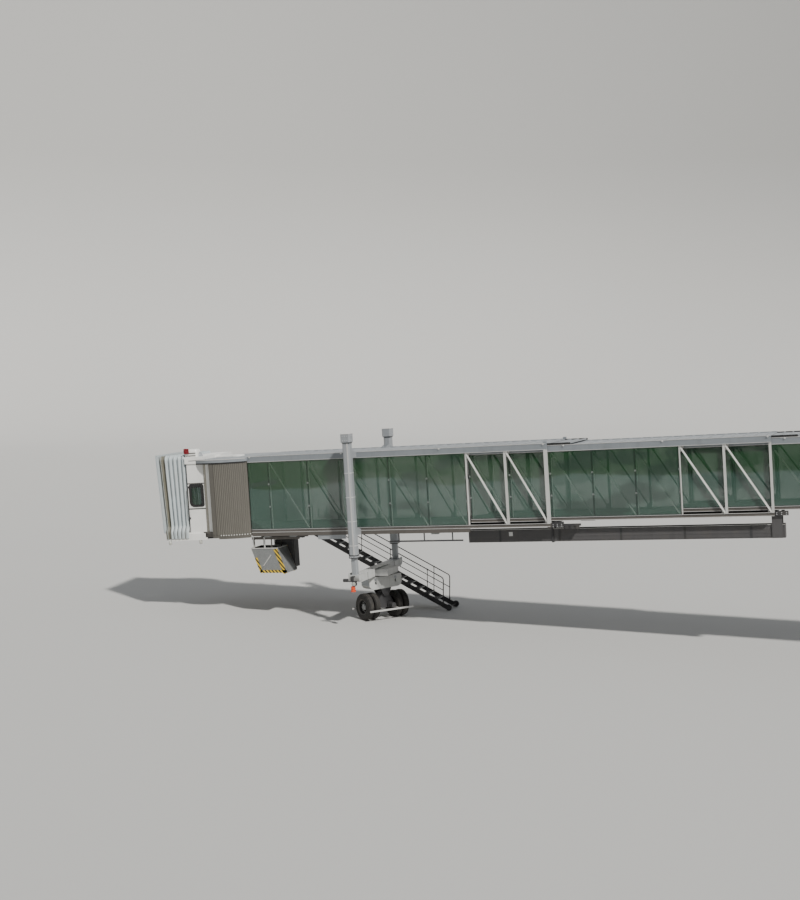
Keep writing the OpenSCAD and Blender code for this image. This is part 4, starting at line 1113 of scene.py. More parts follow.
class BRIDGE_OT_canopy(bpy.types.Operator):
    """Pleated canopy cloth with its seam tapes, dark tubes of painted shade in its valleys, and the padded cover of
    its front hoop
    """

    bl_idname = "bridge.canopy"
    bl_label = "Canopy"

    FOOT = -0.118
    CORNER = 0.2
    FLARE = 0.072
    DEPTH = 0.115

    def outline(self):
        """Points round the canopy from the near foot to the far one, each with its direction inward."""
        half, top, r = CAB_HALF - 0.004, CANOPY_TOP - 0.03, self.CORNER
        side = [(-half, self.FOOT + (top - r - self.FOOT) * k / 36, 1.0, 0.0) for k in range(36)]
        corner = []
        for k in range(9):
            a = math.radians(90 * k / 8)
            corner.append((-half + r - r * math.cos(a), top - r + r * math.sin(a), math.cos(a), -math.sin(a)))
        crown = [(-half + r + (half - r) * k / 15, top, 0.0, -1.0) for k in range(1, 16)]
        near = side + corner + crown
        return near + [(-y, z, -ny, nz) for y, z, ny, nz in near[-2::-1]]

    def lean(self, z):
        """How far the hoop leans out at a height."""
        return CANOPY_LEAN * (z - CAB_FLOOR) / (CANOPY_TOP - CAB_FLOOR)

    def reach(self, stage, z):
        """Distance beyond the cab's axis at a stage from 0 to 1, at a height."""
        return CAB_WALL + 0.045 + stage * (CAB_FRONT + 0.07 + self.lean(z) - CAB_WALL - 0.045 - 0.004)

    def depth(self, stage, i):
        """How far the cloth stands in from its outline: sharp valleys at whole folds, rounded ridges."""
        wave = abs(math.sin(math.pi * FOLDS * stage)) ** 0.75
        crease = 0.007 * math.sin(0.9 * i + 5.0 * stage) + 0.005 * math.sin(0.37 * i + 11.0 * stage)
        return self.DEPTH * (1.0 - wave) + max(0.0, crease * wave) + 0.002

    def ring(self, stage, out=0.0):
        """One line of points round the canopy."""
        points = []
        for i, (y, z, ny, nz) in enumerate(self.outline()):
            flare = min(1.0, max(0.0, (0.36 - z) / 0.2))
            deep = self.depth(stage, i)
            d = deep * (1.0 - flare) + flare * (deep * 0.25 - 0.032 - self.FLARE) - out
            sag = 0.02 * max(0.0, math.cos(0.5 * math.pi * y / CAB_HALF)) if nz < -0.5 else 0.0
            points.append(Vector((-self.reach(stage, z), y + ny * d, max(self.FOOT, z + nz * d - sag))))
        return points

    def cloth(self, name, first, last, steps, material):
        """Sheet of the canopy between two stages."""
        rings = [self.ring(first + (last - first) * k / steps) for k in range(steps + 1)]
        shape = Shape()
        shape.skin(rings, closed=False)
        bmesh.ops.recalc_face_normals(shape.mesh, faces=shape.mesh.faces)
        centres = [(f.normal, f.calc_center_median()) for f in shape.mesh.faces]
        inward = sum(normal.dot(Vector((0, -centre.y, 1.5 - centre.z))) for normal, centre in centres)
        if inward > 0:
            bmesh.ops.reverse_faces(shape.mesh, faces=shape.mesh.faces)
        bmesh.ops.solidify(shape.mesh, geom=shape.mesh.faces[:] + shape.mesh.verts[:] + shape.mesh.edges[:],
                           thickness=SKIN)
        piece = shape.piece(name, (CAB, None), material, "canopy_fabric")
        self.spread(piece)
        return piece

    def spread(self, piece):
        """Bakes a piece's placement into its mesh; the piece rides on no body."""
        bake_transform(piece)

    def execute(self, context):
        look = palette()
        split = (FRONT_FOLD - 0.45) / FOLDS
        cloth = self.cloth("canopy_cloth", 0.0, split, 60, look.fabric)
        front = self.cloth("canopy_front_fold", split, 1.0, 14, look.lining)
        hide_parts("canopy_bellows")
        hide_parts("canopy_bellows")
        # Dark tubes along each valley between folds are painted shade in the creases.
        tapes, creases = Shape(), Shape()
        for k in range(FOLDS):
            tapes.tube(self.ring((k + 0.5) / FOLDS, out=0.003), 0.008, 6)
            if k:
                creases.tube(self.ring(k / FOLDS, out=0.006), 0.016, 6)
        self.spread(tapes.piece("canopy_seam_tapes", (CAB, None), look.tape, "canopy_fabric"))
        self.spread(creases.piece("canopy_creases", (CAB, None), look.crease, "canopy_fabric"))
        self.add_pads(look)
        return {"FINISHED"}

    def add_pads(self, look):
        """Padded cover round the hoop, pinched at its seams."""
        half, centre, section = CAB_HALF - 0.055, CAB_FRONT + 0.12, rounded(0.112, 0.162, 0.035, 3)
        pads, steps = Shape(), 48

        def swell(k):
            return 0.9 if k % 8 == 0 else 1.0

        def part(k, low, high):
            return low + (high - low) * k / steps

        for side in BOTH:
            pads.loft([[(-centre - self.lean(z) + a * grow, side * (half + b * grow), z) for a, b in section]
                       for z, grow in ((part(k, 0.125, 3.035), swell(k)) for k in range(steps + 1))])
        pads.loft([[(-centre - self.lean(3.12) + a * grow, y, 3.12 + b * 0.86 * grow) for a, b in section]
                   for y, grow in ((part(k, -1.622, 1.622), swell(k)) for k in range(steps + 1))])
        piece = pads.piece("canopy_bumper_pads", ON_CANOPY, look.bumper, "hoop_rubber")


# Cab

class BRIDGE_OT_cab(bpy.types.Operator):
    """Window frames, seams, hood, bare sign board, lamps and hand bars of the cab"""

    bl_idname = "bridge.cab"
    bl_label = "Cab fittings"

    WINDOW = [(-1.39, 1.13), (-0.95, 1.13), (-0.95, 1.95), (-1.48, 1.95), (-1.48, 1.24)]

    def execute(self, context):
        look = palette()
        y = -CAB_HALF
        outer = softened(grown(self.WINDOW, 0.045), 0.1)
        inner = softened(grown(self.WINDOW, -0.075), 0.06)
        rings = [[(x, depth, z) for x, z in line] for line, depth in
                 ((outer, y + 0.004), (outer, y - 0.012), (inner, y - 0.012), (inner, y + 0.034))]
        frames = Shape().loft(rings, loop=True).mirrored()
        frames.piece("cab_window_frames", ON_CAB, look.rubber, "dark_steel", smooth=False)
        for add in (self.add_seams, self.add_hood, self.add_bars, self.add_sill, self.add_drums):
            add(y, look)
        return {"FINISHED"}

    def add_drums(self, y, look):
        """Rounded covers of the curtain drums at the back edge of the side walls, and the dark seal behind."""
        outline = [(-0.664 + 0.204 * math.cos(math.radians(a)), y - 0.068 * math.sin(math.radians(a)))
                   for a in range(0, 181, 10)]
        drums = Shape().prism(outline, 0.112, ROUND_TOP - 0.012).mirrored()
        drums.piece("curtain_drums", ON_CAB, look.drum, "curtain_slats")
        seal = Shape().pair((-CAB_BACK - 0.002, y - 0.014, 0.112), (-CAB_BACK + 0.012, y + 0.05, ROUND_TOP - 0.012))
        seal.piece("drum_seals", ON_CAB, look.rubber, "dark_steel", smooth=False)

    def add_seams(self, y, look):
        """Panel joints and the row of rivets beside each."""
        seams = Shape()
        for z in (2.02, 1.03):
            seams.pair((-CAB_WALL, y - 0.005, z - 0.026), (-CAB_BACK, y + 0.001, z + 0.018))
        seams.pair((-CAB_WALL - 0.004, y - 0.004, 0.11), (-CAB_WALL + 0.016, y + 0.02, ROUND_TOP - 0.01))
        seams.piece("cab_seams", ON_CAB, look.dark, "dark_steel", smooth=False)
        rivet = Shape().bolts((0,), (y,), (0.2, 1.0, 1.06, 2.0, 2.045, 2.74), TO_NEAR, 0.006, 0.005).mirrored()
        repeated(rivet, "cab_rivets", ON_CAB, look.white, "white_panel", count=8,
                 start=(-CAB_WALL + 0.05, 0, 0), step=(0.085, 0, 0))

    def add_hood(self, y, look):
        """Rounded equipment hood with two air slots, and the bare sign board beside it."""
        top = ROUND_TOP + 0.26
        hood = Shape()
        section = rounded(0.5, 0.5, 0.09, 4)
        rings = []
        for z, grow in ((0.0, 1.0), (0.17, 1.0), (0.25, 0.94), (0.29, 0.8), (0.3, 0.55)):
            rings.append([(-1.36 + a * grow, y + 0.29 + b * grow, top + z) for a, b in section])
        hood.loft(rings)
        hood.piece("roof_hood", ON_CAB, look.white, "white_panel")
        slots = Shape()
        for z in (0.03, 0.13):
            slots.block((-1.56, y + 0.03, top + z), (-1.16, y + 0.05, top + z + 0.03))
        slots.block((-1.44, y - 0.045, top - 0.16), (-1.14, y - 0.036, top - 0.14))
        slots.piece("hood_slots", ON_CAB, look.rubber, "dark_steel", smooth=False)
        sign = Shape().block((-1.632, y + 0.004, top + 0.13), (-1.617, y + 0.27, top + 0.33))
        sign.block((-1.6, y + 0.004, top + 0.13), (-1.42, y + 0.022, top + 0.33)).bevelled(0.003)
        sign.piece("sign_board", ON_CAB, look.red, "white_panel")
        stand = Shape()
        for x in (-1.58, -1.45):
            stand.rod((x, y + 0.03, top - 0.002), (x, y + 0.03, top + 0.3), 0.007, 10)
        stand.piece("sign_stand", ON_CAB, look.alloy, "frame_paint")

    def add_bars(self, y, look):
        """Hand bars beside the front edge of each side wall."""
        bars = Shape()
        x = -CAB_WALL + 0.03
        path = [(x, y + 0.005, 1.88), (x, y - 0.03, 1.87), (x - 0.012, y - 0.055, 1.82), (x - 0.02, y - 0.062, 1.6),
                (x - 0.02, y - 0.062, 0.95), (x - 0.012, y - 0.055, 0.72), (x, y - 0.03, 0.67), (x, y + 0.005, 0.66)]
        bars.tube(smoothed(path, 3), 0.016, 12)
        for z in (1.88, 0.66):
            bars.block((x - 0.03, y - 0.006, z - 0.04), (x + 0.03, y + 0.001, z + 0.04))
        bars.mirrored()
        bars.piece("cab_hand_bars", ON_CAB, look.dark, "dark_steel")

    def add_sill(self, y, look):
        """White sill angle along the cab's foot, its small lamps and the front kick strip."""
        sill = Shape()
        sill.pair((-CAB_FRONT - 0.055, y - 0.06, -0.2), (-CAB_BACK, y - 0.045, -0.108))
        sill.pair((-CAB_FRONT - 0.055, y - 0.045, -0.2), (-CAB_BACK, y + 0.03, -0.188))
        sill.piece("cab_sill_angles", ON_CAB, look.white, "white_panel", smooth=False)
        strip = Shape().block((-CAB_FRONT - 0.066, y, -0.08), (-CAB_FRONT - 0.06, -y, 0.03))
        strip.piece("front_kick_strip", ON_CAB, look.rubber, "dark_steel", smooth=False)
        lamps = Shape()
        for x in (-CAB_FRONT + 0.06, -CAB_BACK - 0.3):
            place = Matrix.Translation((x, y - 0.01, -0.2)) @ turn_about("X", 180)
            lamps.turned([(0.0, 0.0), (0.05, 0.0), (0.05, 0.03), (0.062, 0.06), (0.062, 0.13), (0.045, 0.16),
                          (0.0, 0.17)], 20, place)
        lamps.welded().mirrored()
        lamps.piece("sill_lamps", ON_CAB, look.lamp, "white_panel")


# Lift columns and drive

class BRIDGE_OT_columns(bpy.types.Operator):
    """Collars, bands, bolts, strips and arm gussets on the lift columns"""

    bl_idname = "bridge.columns"
    bl_label = "Lift columns"

    def band(self, shape, width, chamfer, low, high):
        """Eight-sided band round the near column."""
        w, c = width / 2, chamfer
        outline = [(c - w, -w), (w - c, -w), (w, c - w), (w, w - c), (w - c, w), (c - w, w), (-w, w - c), (-w, c - w)]
        return shape.prism([(x - LIFT_U, y - LIFT_Y) for x, y in outline], low, high)

    def execute(self, context):
        look = palette()
        bands, collars = Shape(), Shape()
        for z, wide, c in ((-0.952, 0.044, 0.06), (-0.862, 0.044, 0.06), (3.318, 0.03, 0.056)):
            self.band(collars, COLUMN_W + wide, c, z, z + 0.03)
        collars.mirrored()
        collars.piece("column_collars", ON_C, look.dark, "column_paint", smooth=False)
        self.band(bands, COLUMN_W + 0.084, 0.045, 3.652, 3.67)
        for z in (-0.5, 0.4, 1.3, 2.2):
            self.band(bands, COLUMN_W + 0.012, 0.056, z, z + 0.03)
        bands.mirrored()
        bands.piece("column_bands", ON_C, look.alloy, "column_paint", smooth=False)
        bolts = Shape()
        for z in (-0.905, 3.42, 3.58):
            out = COLUMN_W / 2 + (0.035 if z > 3 else 0.015)
            for d in (-0.09, 0.0, 0.09):
                for x, y, way in ((d, -out, TO_NEAR), (out, d, (1, 0, 0)), (-out, d, (-1, 0, 0))):
                    bolts.bolt((x - LIFT_U, y - LIFT_Y, z), way, 0.013, 0.013)
        bolts.mirrored()
        bolts.piece("column_bolts", ON_C, look.bolt, "column_paint")
        y = -LIFT_Y - COLUMN_W / 2
        strip = Shape().pair((0.035 - LIFT_U, y - 0.008, -0.84), (0.093 - LIFT_U, y + 0.001, 3.31))
        strip.piece("column_strips", ON_C, look.alloy, "column_paint", smooth=False)
        self.add_brackets(look)
        return {"FINISHED"}

    def add_brackets(self, look):
        """Gussets and bolts on the arms that tie the columns to the tunnel."""
        arms, y = Shape(), COLUMN_W / 2 - LIFT_Y
        across = Matrix(((0, 0, 1, -LIFT_U), (1, 0, 0, 0), (0, 1, 0, 0), (0, 0, 0, 1)))
        for z in (-0.13, 2.75):
            for x in (-0.118, 0.11):
                outline = [(y, z + 0.17), (-1.49, z + 0.17), (-1.49, z + 0.2), (y, z + 0.3)]
                arms.prism(outline, x, x + 0.008, across)
            arms.bolts([x - LIFT_U for x in (-0.07, 0.0, 0.07)], (-1.62, -1.75), (z,), (0, 0, -1))
        arms.mirrored()
        arms.piece("column_arm_gussets", ON_C, look.column, "column_paint", smooth=False)


class BRIDGE_OT_drive(bpy.types.Operator):
    """Seams and bolts of the carriage, tread, rims and hubs of the wheels, lamp lenses"""

    bl_idname = "bridge.drive"
    bl_label = "Drive"

    LUG = [(0.452, 0.117), (0.506, 0.084), (0.5135, 0.012), (0.49, 0.012), (0.446, 0.08)]
    LUG_EDGE = 0.117
    LUG_SPREAD = 0.021
    HUB = [(0.0, 0.0), (0.125, 0.0), (0.125, 0.03), (0.1, 0.055), (0.06, 0.07), (0.0, 0.074)]

    def execute(self, context):
        look = palette()
        self.add_carriage(look)
        self.add_beam(look)
        for name, body in (("near", "near_wheels"), ("far", "far_wheels")):
            self.add_wheels(name, body, look)
        self.add_lamps(look)
        return {"FINISHED"}

    def add_carriage(self, look):
        """Weld lines and bolts on the cross box."""
        front, back = BOX_HALF_WIDE - LIFT_U, -BOX_HALF_WIDE - LIFT_U
        trim = Shape()
        for y in (-1.35, -0.62, 0.62, 1.35):
            for x0, x1 in ((front, front + 0.005), (back - 0.005, back)):
                trim.block((x0, y - 0.012, BOX_LOW + 0.01), (x1, y + 0.012, BOX_TOP - 0.01))
        trim.piece("cross_box_seams", ON_CARRIAGE, look.dark, "dark_steel", smooth=False)
        bolts = Shape()
        ys = [side * LIFT_Y + dy for side in BOTH for dy in (-0.13, -0.065, 0.0, 0.065, 0.13)]
        for x, way in ((front + 0.004, 1), (back - 0.004, -1)):
            bolts.bolts((x,), ys, (BOX_LOW + 0.09, BOX_TOP + 0.035), (way, 0, 0))
        bolts.piece("cross_box_bolts", ON_CARRIAGE, look.bolt, "box_paint")

    def add_beam(self, look):
        """Edge strips, cover plates and bolts on the steered beam."""
        half, wide = BEAM_LEN / 2, BEAM_WIDE / 2
        strips = Shape()
        for x in (-wide, wide):
            for y in (-0.46, 0.46):
                strips.block((x - 0.005, y - 0.05, BEAM_LOW + 0.33), (x + 0.005, y + 0.05, BEAM_LOW + 0.42))
        for y in (-half, half):
            strips.block((-wide + 0.04, y - 0.004, BEAM_LOW + 0.16), (wide - 0.04, y + 0.004, BEAM_LOW + 0.46))
        strips.piece("beam_covers", ON_BOGIE, look.column, "box_paint", smooth=False)
        bolts = Shape()
        for x, way in ((-wide, -1), (wide, 1)):
            for y in (-0.68, -0.56, -0.36, -0.28, 0.28, 0.36, 0.56, 0.68):
                bolts.bolt((x, y, BEAM_LOW + 0.44), (way, 0, 0), 0.011, 0.011)
                bolts.bolt((x, y * 0.8, BEAM_LOW + 0.06), (way, 0, 0), 0.011, 0.011)
        for x, y in around(16, 0.39):
            bolts.bolt((x, y, BEAM_LOW + BEAM_H + 0.049), (0, 0, 1), 0.01, 0.0001)
        bolts.piece("beam_bolts", ON_BOGIE, look.bolt, "box_paint")

    def add_wheels(self, name, body, look):
        """Tread blocks on both tyres of a pair, rim rings, wheel nuts and the hub cap."""
        joint = f"{name}_wheels_roll"
        spot = (placed((0, 0, 1), joint_axis(joint), joint_at(joint)), body)
        outward = -1 if name == "near" else 1
        offset = (TYRE_W + TYRE_GAP) / 2
        lug = Shape()
        for tyre in (-offset, offset):
            for side, shift in ((-1, 0.0), (1, math.radians(3.75))):
                rings = []
                for edge in (-self.LUG_SPREAD, self.LUG_SPREAD):
                    turns = [shift + edge / r + 0.05 * (self.LUG_EDGE - z) / self.LUG_EDGE for r, z in self.LUG]
                    rings.append([(r * math.cos(a), r * math.sin(a), tyre + side * z)
                                  for a, (r, z) in zip(turns, self.LUG)])
                lug.loft(rings)
        repeated(lug, f"{name}_tread", spot, look.tyre, "tyre_rubber", count=48, turn=math.radians(7.5),
                 smooth=False)
        rims, nuts = Shape(), Shape()
        for tyre in (-offset, offset):
            for side in (-1, 1):
                z = tyre + side * (TYRE_W / 2)
                rims.turned([(0.262, z - side * 0.03), (0.292, z - side * 0.012), (0.304, z + side * 0.004),
                             (0.297, z + side * 0.008), (0.28, z - side * 0.002), (0.252, z - side * 0.022)], 64,
                            closed=True)
        z = outward * (offset + TYRE_W / 2)
        for r in (0.345, 0.4):
            rims.turned([(r, z - outward * 0.004), (r + 0.012, z + outward * 0.001), (r + 0.024, z - outward * 0.004),
                         (r + 0.012, z - outward * 0.008)], 64, closed=True)
        rims.piece(f"{name}_rim_rings", spot, look.rim, "tyre_rubber")
        for x, y in around(10, 0.19):
            nuts.bolt((x, y, outward * offset), (0, 0, outward), 0.017, 0.024)
        cap = Matrix.Translation((0, 0, outward * (offset + 0.025))) @ turn_about("X", 0 if outward > 0 else 180)
        nuts.turned(self.HUB, 32, cap).welded()
        nuts.piece(f"{name}_hub", spot, look.zinc, "tyre_rubber")

    def add_lamps(self, look):
        """Lenses on the two work lamps and ribs round the beacon."""
        y = -box_of("cross_box")[1].y - 0.17
        lens = Shape()
        place = Matrix.Translation((-LIFT_U + 0.09, y + 0.06, BOX_LOW - 0.01)) @ turn_about("X", 90)
        lens.turned([(0.0, 0.118), (0.07, 0.118), (0.066, 0.128), (0.03, 0.134), (0.0, 0.136)], 32, place)
        place = Matrix.Translation((-LIFT_U - 0.34, y, BOX_LOW + 0.12)) @ turn_about("Y", -90)
        lens.turned([(0.0, -0.002), (0.05, -0.002), (0.046, 0.008), (0.0, 0.012)], 32, place)
        lens.welded()
        lens.piece("lamp_lenses", ON_CARRIAGE, look.lamp, "white_panel")
        cage = Shape()
        base = Vector((-LIFT_U + 0.03, y, BOX_LOW - 0.3))
        for z in (0.03, 0.105, 0.178):
            cage.turned([(0.083, z), (0.09, z), (0.09, z + 0.008), (0.083, z + 0.008)], 32, Matrix.Translation(base),
                        closed=True)
        cage.piece("beacon_rings", ON_CARRIAGE, look.rubber, "dark_steel")


class BRIDGE_OT_rollers(bpy.types.Operator):
    """Bolts and guide shoes of the tunnel rollers, joints and ridges of the cable tray"""

    bl_idname = "bridge.rollers"
    bl_label = "Rollers and tray"

    def execute(self, context):
        look = palette()
        for tunnel, inner in ((TUNNEL_B, TUNNEL_A), (TUNNEL_C, TUNNEL_B)):
            low, high = box_of(f"{tunnel.name}_rollers")
            y = inner.face
            if tunnel is TUNNEL_C:
                self.add_shoe(high.x, y, look)
            bolts = Shape().bolts((low.x + 0.06, (low.x + high.x) / 2, high.x - 0.06), (y,),
                                  (low.z + 0.035, low.z + 0.095)).mirrored()
            bolts.piece(f"{tunnel.name}_roller_bolts", tunnel.spot, look.bolt, "dark_steel")
        self.add_tray(look)
        return {"FINISHED"}

    def add_shoe(self, x, y, look):
        """Guide shoe that reaches on under the next tunnel's chord, with its three side rollers."""
        shoe = Shape().block((x + 0.002, y + 0.02, 0.0), (x + 0.62, y + 0.09, 0.075))
        shoe.block((x + 0.002, y + 0.04, -0.12), (x + 0.55, y + 0.07, 0.0)).bevelled(0.006)
        for k in range(3):
            shoe.rod((x + 0.12 + 0.19 * k, y + 0.012, -0.055), (x + 0.12 + 0.19 * k, y + 0.1, -0.055), 0.062, 24)
        shoe.mirrored()
        shoe.piece("guide_shoes", ON_C, look.dark, "dark_steel")

    def add_tray(self, look):
        """Ridges along the tray, butt straps with bolts and one light plate."""
        u0, u1, y, low, high = 7.3, 18.4, -1.075, -0.57, -0.11
        ridges = Shape()
        for z in (-0.5, -0.39, -0.28, -0.17):
            for y0, y1 in ((y - 0.007, y + 0.001), (-0.726, -0.718)):
                ridges.block((-u1 + 0.03, y0, z - 0.012), (-u0 - 0.03, y1, z + 0.012))
        ridges.bevelled(0.003, 1)
        ridges.piece("tray_ridges", ON_B, look.tray, "dark_steel", smooth=False)
        lips = Shape()
        lips.block((-u1, y - 0.01, high - 0.014), (-u0, y + 0.004, high))
        lips.block((-u1, -0.729, high - 0.014), (-u0, -0.715, high))
        lips.piece("tray_lips", ON_B, look.post, "frame_paint", smooth=False)
        strap = Shape().block((-0.04, y - 0.012, low + 0.01), (0.04, y - 0.006, high - 0.02))
        strap.bolts((0,), (y - 0.012,), (-0.53, -0.445, -0.335, -0.225), TO_NEAR, 0.008, 0.007)
        repeated(strap, "tray_straps", ON_B, look.dark, "dark_steel", count=5, start=(-u0 - 1.1, 0, 0),
                 step=(-2.2, 0, 0))
        plate = Shape().block((-16.866, y - 0.014, -0.352), (-16.725, y - 0.004, -0.205)).bevelled(0.004)
        plate.piece("tray_plate", ON_B, look.alloy, "frame_paint")


class BRIDGE_OT_basket(bpy.types.Operator):
    """Warning stripes, braces and rim of the cable basket, fittings of the dark panel"""

    bl_idname = "bridge.basket"
    bl_label = "Cable basket"

    SIDE = [(-27.3, -0.64), (-26.18, -0.64), (-25.8, -1.6), (-26.96, -1.6)]
    NEAR_Y = -1.28
    FAR_Y = -0.42

    def band(self, shape, start, end, width, y, inward):
        """Flat stripe band along one edge of the basket's side."""
        a, b = Vector(start), Vector(end)
        step = Vector(inward).normalized() * width
        low, high = sorted((y, y + (0.006 if y > -0.8 else -0.006)))
        shape.prism([tuple(a), tuple(b), tuple(b + step), tuple(a + step)], low, high, UPRIGHT)

    def execute(self, context):
        look = palette()
        tl, tr, br, bl = (Vector(p) for p in self.SIDE)
        stripes = Shape()
        for y in (self.NEAR_Y, self.FAR_Y):
            self.band(stripes, bl, tl.lerp(bl, 0.4), 0.11, y, (1, 0.35))
            self.band(stripes, bl, br, 0.11, y, (0, 1))
            self.band(stripes, br, tr, 0.16, y, (-1, -0.4))
        stripes.piece("basket_stripes", ON_C, look.hazard, "basket_steel", smooth=False)
        bars = Shape()
        for y, out in ((self.NEAR_Y, -1), (self.FAR_Y, 1)):
            bars.rod((-26.8, y + out * 0.01, -1.32), (-26.45, y + out * 0.01, -0.9), 0.02, 8)
            bars.rod((tl.x, y, tl.y), (tr.x, y, tr.y), 0.02, 10)
            for x in (-27.2, -26.72):
                bars.block((x, y - 0.012, -0.63), (x + 0.05, y + 0.012, -0.2))
        for end in (tl, tr):
            bars.rod((end.x, self.NEAR_Y, end.y), (end.x, self.FAR_Y, end.y), 0.02, 10)
        bars.piece("basket_bars", ON_C, look.alloy, "basket_steel")
        self.add_panel(look)
        return {"FINISHED"}

    def add_panel(self, look):
        """Door lines, hinges and vents of the dark panel."""
        x0, x1, z0, z1, y = -26.68, -25.86, -1.5, -0.42, -0.41
        rings = []
        for inset, radius, depth in ((0.05, 0.03, 0.001), (0.05, 0.03, -0.01), (0.075, 0.02, -0.01),
                                     (0.075, 0.02, 0.001)):
            line = rounded(x1 - x0 - 2 * inset, z1 - z0 - 2 * inset, radius)
            rings.append([((x0 + x1) / 2 + a, y + depth, (z0 + z1) / 2 + b) for a, b in line])
        trim = Shape().loft(rings, loop=True)
        for z in (-1.3, -0.62):
            trim.rod((x0 + 0.04, y - 0.008, z - 0.06), (x0 + 0.04, y - 0.008, z + 0.06), 0.012, 10)
        for k in range(7):
            trim.block((x0 + 0.2, y - 0.006, -1.36 + 0.035 * k), (x1 - 0.2, y + 0.001, -1.345 + 0.035 * k))
        trim.block((x1 - 0.13, y - 0.022, -1.0), (x1 - 0.1, y + 0.001, -0.86))
        trim.piece("panel_trim", ON_C, look.tray, "dark_steel", smooth=False)


class BRIDGE_OT_stair(bpy.types.Operator):
    """Grating, nosings and rail fittings of the stair and its landing"""

    bl_idname = "bridge.stair"
    bl_label = "Stair"

    def execute(self, context):
        look = palette()
        run = (STAIR_FOOT - STAIR_TOP).length
        pitch = (run - 0.5) / STEPS_IN_STAIR
        angle = math.asin((STAIR_TOP.z - STAIR_FOOT.z) / run)
        level = Matrix.Rotation(-angle, 4, "Y")
        y0 = STAIR_Y - STAIR_TOP.y + 0.03
        y1 = y0 + STAIR_W - 0.06
        grating, nosing = Shape(), Shape()
        for i in range(STEPS_IN_STAIR):
            tread = Matrix.Translation((0.25 + i * pitch, 0, 0)) @ level
            for k in range(12):
                x = -0.132 + 0.0235 * k
                grating.block((x, y0, 0.0145), (x + 0.005, y1, 0.021), tread)
            for k in range(7):
                y = y0 + 0.06 + (y1 - y0 - 0.12) * k / 6
                grating.block((-0.135, y - 0.004, 0.0145), (0.135, y + 0.004, 0.019), tread)
            nosing.block((0.126, y0, 0.006), (0.142, y1, 0.024), tread)
        grating.piece("tread_grating", ON_STAIR, look.tray, "dark_steel", smooth=False)
        nosing.piece("tread_nosings", ON_STAIR, look.zinc, "dark_steel", smooth=False)
        self.add_fittings(run, angle, look)
        self.add_landing(look)
        return {"FINISHED"}

    def add_fittings(self, run, angle, look):
        """Collars where the stair's rails meet their posts, and foot plates."""
        bend, foot = 0.15, run - 0.3
        low = RAIL_H - bend + bend * math.sin(angle)
        along = foot - (low - 0.05) * math.tan(angle) - bend * math.cos(angle)
        lean = Vector((-math.sin(angle), 0, math.cos(angle)))
        fittings, edge = Shape(), STAIR_Y - STAIR_TOP.y
        for y in (edge + 0.015, edge + STAIR_W - 0.015):
            for i in range(4):
                base = Vector((0.26 + i * (along - 0.5) / 3, y, 0.05))
                fittings.rod(base, base + 0.05 * lean, 0.022, 12)
                for h in (0.5, RAIL_H):
                    at = base + lean * ((h - 0.05) / math.cos(angle))
                    half = Vector((0.035, 0, 0))
                    fittings.rod(at - half, at + half, 0.025 if h == RAIL_H else 0.021, 12)
                    fittings.rod(at - lean * 0.045, at - lean * 0.005, 0.02, 12)
            base = Vector((foot, y, 0.05))
            fittings.rod(base, base + 0.05 * lean, 0.027, 12)
        fittings.piece("rail_fittings", ON_STAIR, look.dark, "dark_steel")

    def add_landing(self, look):
        """Raised pattern and toe boards on the landing, and a door's handle and pane."""
        u0, z = STAIR_U + 0.08, LANDING_Z
        y0, y1 = 1.78, STAIR_Y + STAIR_W - 0.04
        pattern = Shape()
        for i in range(16):
            for k in range(20):
                x, y = -(u0 + 0.03 + i * 0.062), y0 + 0.03 + k * 0.062
                turn = Matrix.Translation((x, y, z)) @ turn_about("Z", 45 if (i + k) % 2 else -45)
                if y < y1 - 0.03:
                    pattern.block((-0.018, -0.004, -0.001), (0.018, 0.004, 0.003), turn)
        pattern.piece("landing_pattern", ON_C, look.dark, "dark_steel", smooth=False)
        board = Shape()
        board.block((-(STAIR_U + 1.066), y1 + 0.006, z), (-(STAIR_U + 0.33), y1 + 0.012, z + 0.1))
        board.block((-(STAIR_U + 1.1), 1.83, z), (-(STAIR_U + 1.094), y1 - 0.05, z + 0.1))
        board.piece("landing_toe_boards", ON_C, look.hazard, "dark_steel", smooth=False)
        door = Shape()
        x0, x1, y = -27.0, -26.31, TUNNEL_C.half - 0.02
        door.rod((x1 - 0.12, y + 0.05, 1.05), (x1 - 0.12, y + 0.05, 1.35), 0.012, 12)
        for h in (1.06, 1.34):
            door.rod((x1 - 0.12, y - 0.002, h), (x1 - 0.12, y + 0.05, h), 0.01, 10)
        door.piece("door_handle", ON_C, look.alloy, "white_panel")
        window = Shape()
        window.block((x0 + 0.2, y - 0.001, 1.45), (x1 - 0.2, y + 0.006, 2.25)).bevelled(0.004)
        window.piece("door_pane", ON_C, look.pane, "green_glass")


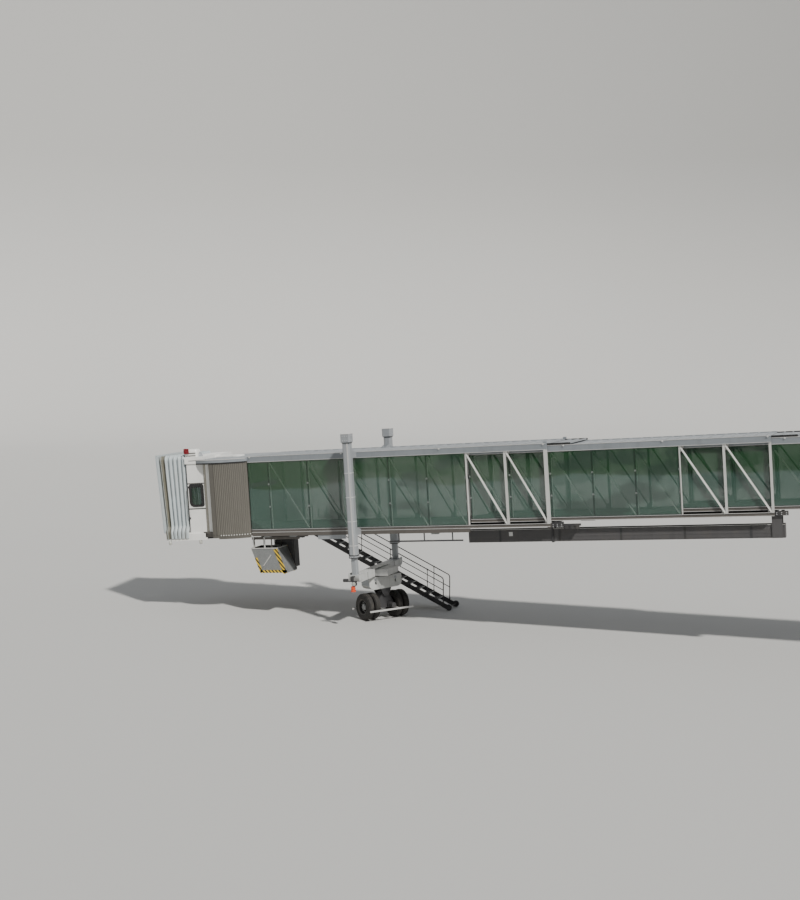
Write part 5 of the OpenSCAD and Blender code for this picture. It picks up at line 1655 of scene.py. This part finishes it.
class BRIDGE_OT_terminal(bpy.types.Operator):
    """Anchor bolts, weld rings and seals at the terminal end"""

    bl_idname = "bridge.terminal"
    bl_label = "Terminal end"

    def execute(self, context):
        look = palette()
        anchors = Shape()
        for x, y in around(12, 0.75, 15):
            anchors.rod((x, y, 0.0), (x, y, 0.13), 0.0195, 16)
            anchors.rod((x, y, 0.05), (x, y, 0.056), 0.045, 24)
            anchors.bolt((x, y, 0.056), (0, 0, 1), 0.035, 0.034)
        anchors.piece("anchor_bolts", ON_TERMINAL, look.bolt, "column_paint")
        rings = Shape()
        top = ROTUNDA_Z
        for z in (0.052, 1.75, 3.2, top - 0.765):
            rings.turned([(TUBE_R - 0.002, z), (TUBE_R + 0.012, z + 0.004), (TUBE_R + 0.012, z + 0.016),
                          (TUBE_R - 0.002, z + 0.02)], 64, closed=True)
        rings.piece("column_weld_rings", ON_TERMINAL, look.column, "column_paint")
        seal, lintel = Shape(), top + ROTUNDA_ROOM - 0.26
        for y0, y1, z0, z1 in ((-1.0, -0.985, top, lintel), (0.985, 1.0, top, lintel),
                               (-1.0, 1.0, lintel - 0.015, lintel)):
            seal.block((2.2, y0, z0), (2.28, y1, z1))
        seal.piece("portal_seal", ON_TERMINAL, look.rubber, "dark_steel", smooth=False)
        pins = Shape()
        for x, z in around(6, 0.065):
            pins.bolt((x - 2.3, -1.215, top + z), TO_NEAR, 0.009, 0.009)
        pins.bolts((-2.145,), (-1.3,), [top + z for z in (-0.6, -0.4, 0.5, 1.2, 1.9)], TO_NEAR, 0.014, 0.014)
        pins.mirrored()
        pins.piece("swing_bolts", ON_SWING, look.bolt, "column_paint")
        return {"FINISHED"}


class BRIDGE_PT_panel(bpy.types.Panel):
    """Lists the bridge's colours and steps"""

    bl_label = "Boarding bridge"
    bl_space_type = "VIEW_3D"
    bl_region_type = "UI"
    bl_category = "Bridge"

    def draw(self, context):
        layout = self.layout
        for step in STEPS:
            layout.operator(step.bl_idname)
        for group in (context.scene.bridge_stage, context.scene.bridge_colours):
            for name in group.__annotations__:
                layout.prop(group, name)


STEPS = [BRIDGE_OT_stage, BRIDGE_OT_paint, BRIDGE_OT_glazing, BRIDGE_OT_trims, BRIDGE_OT_gussets, BRIDGE_OT_curtains,
         BRIDGE_OT_canopy, BRIDGE_OT_cab, BRIDGE_OT_columns, BRIDGE_OT_drive, BRIDGE_OT_rollers, BRIDGE_OT_basket,
         BRIDGE_OT_stair, BRIDGE_OT_terminal]
CLASSES = [BridgeColours, BridgeStage, *STEPS, BRIDGE_PT_panel]


def register():
    for cls in CLASSES:
        bpy.utils.register_class(cls)
    bpy.types.Scene.bridge_colours = bpy.props.PointerProperty(type=BridgeColours)
    bpy.types.Scene.bridge_stage = bpy.props.PointerProperty(type=BridgeStage)


def unregister():
    del bpy.types.Scene.bridge_stage
    del bpy.types.Scene.bridge_colours
    for cls in reversed(CLASSES):
        bpy.utils.unregister_class(cls)


def main():
    register()
    for step in STEPS:
        group, name = step.bl_idname.split(".")
        getattr(getattr(bpy.ops, group), name)()


if __name__ == "__main__":
    main()
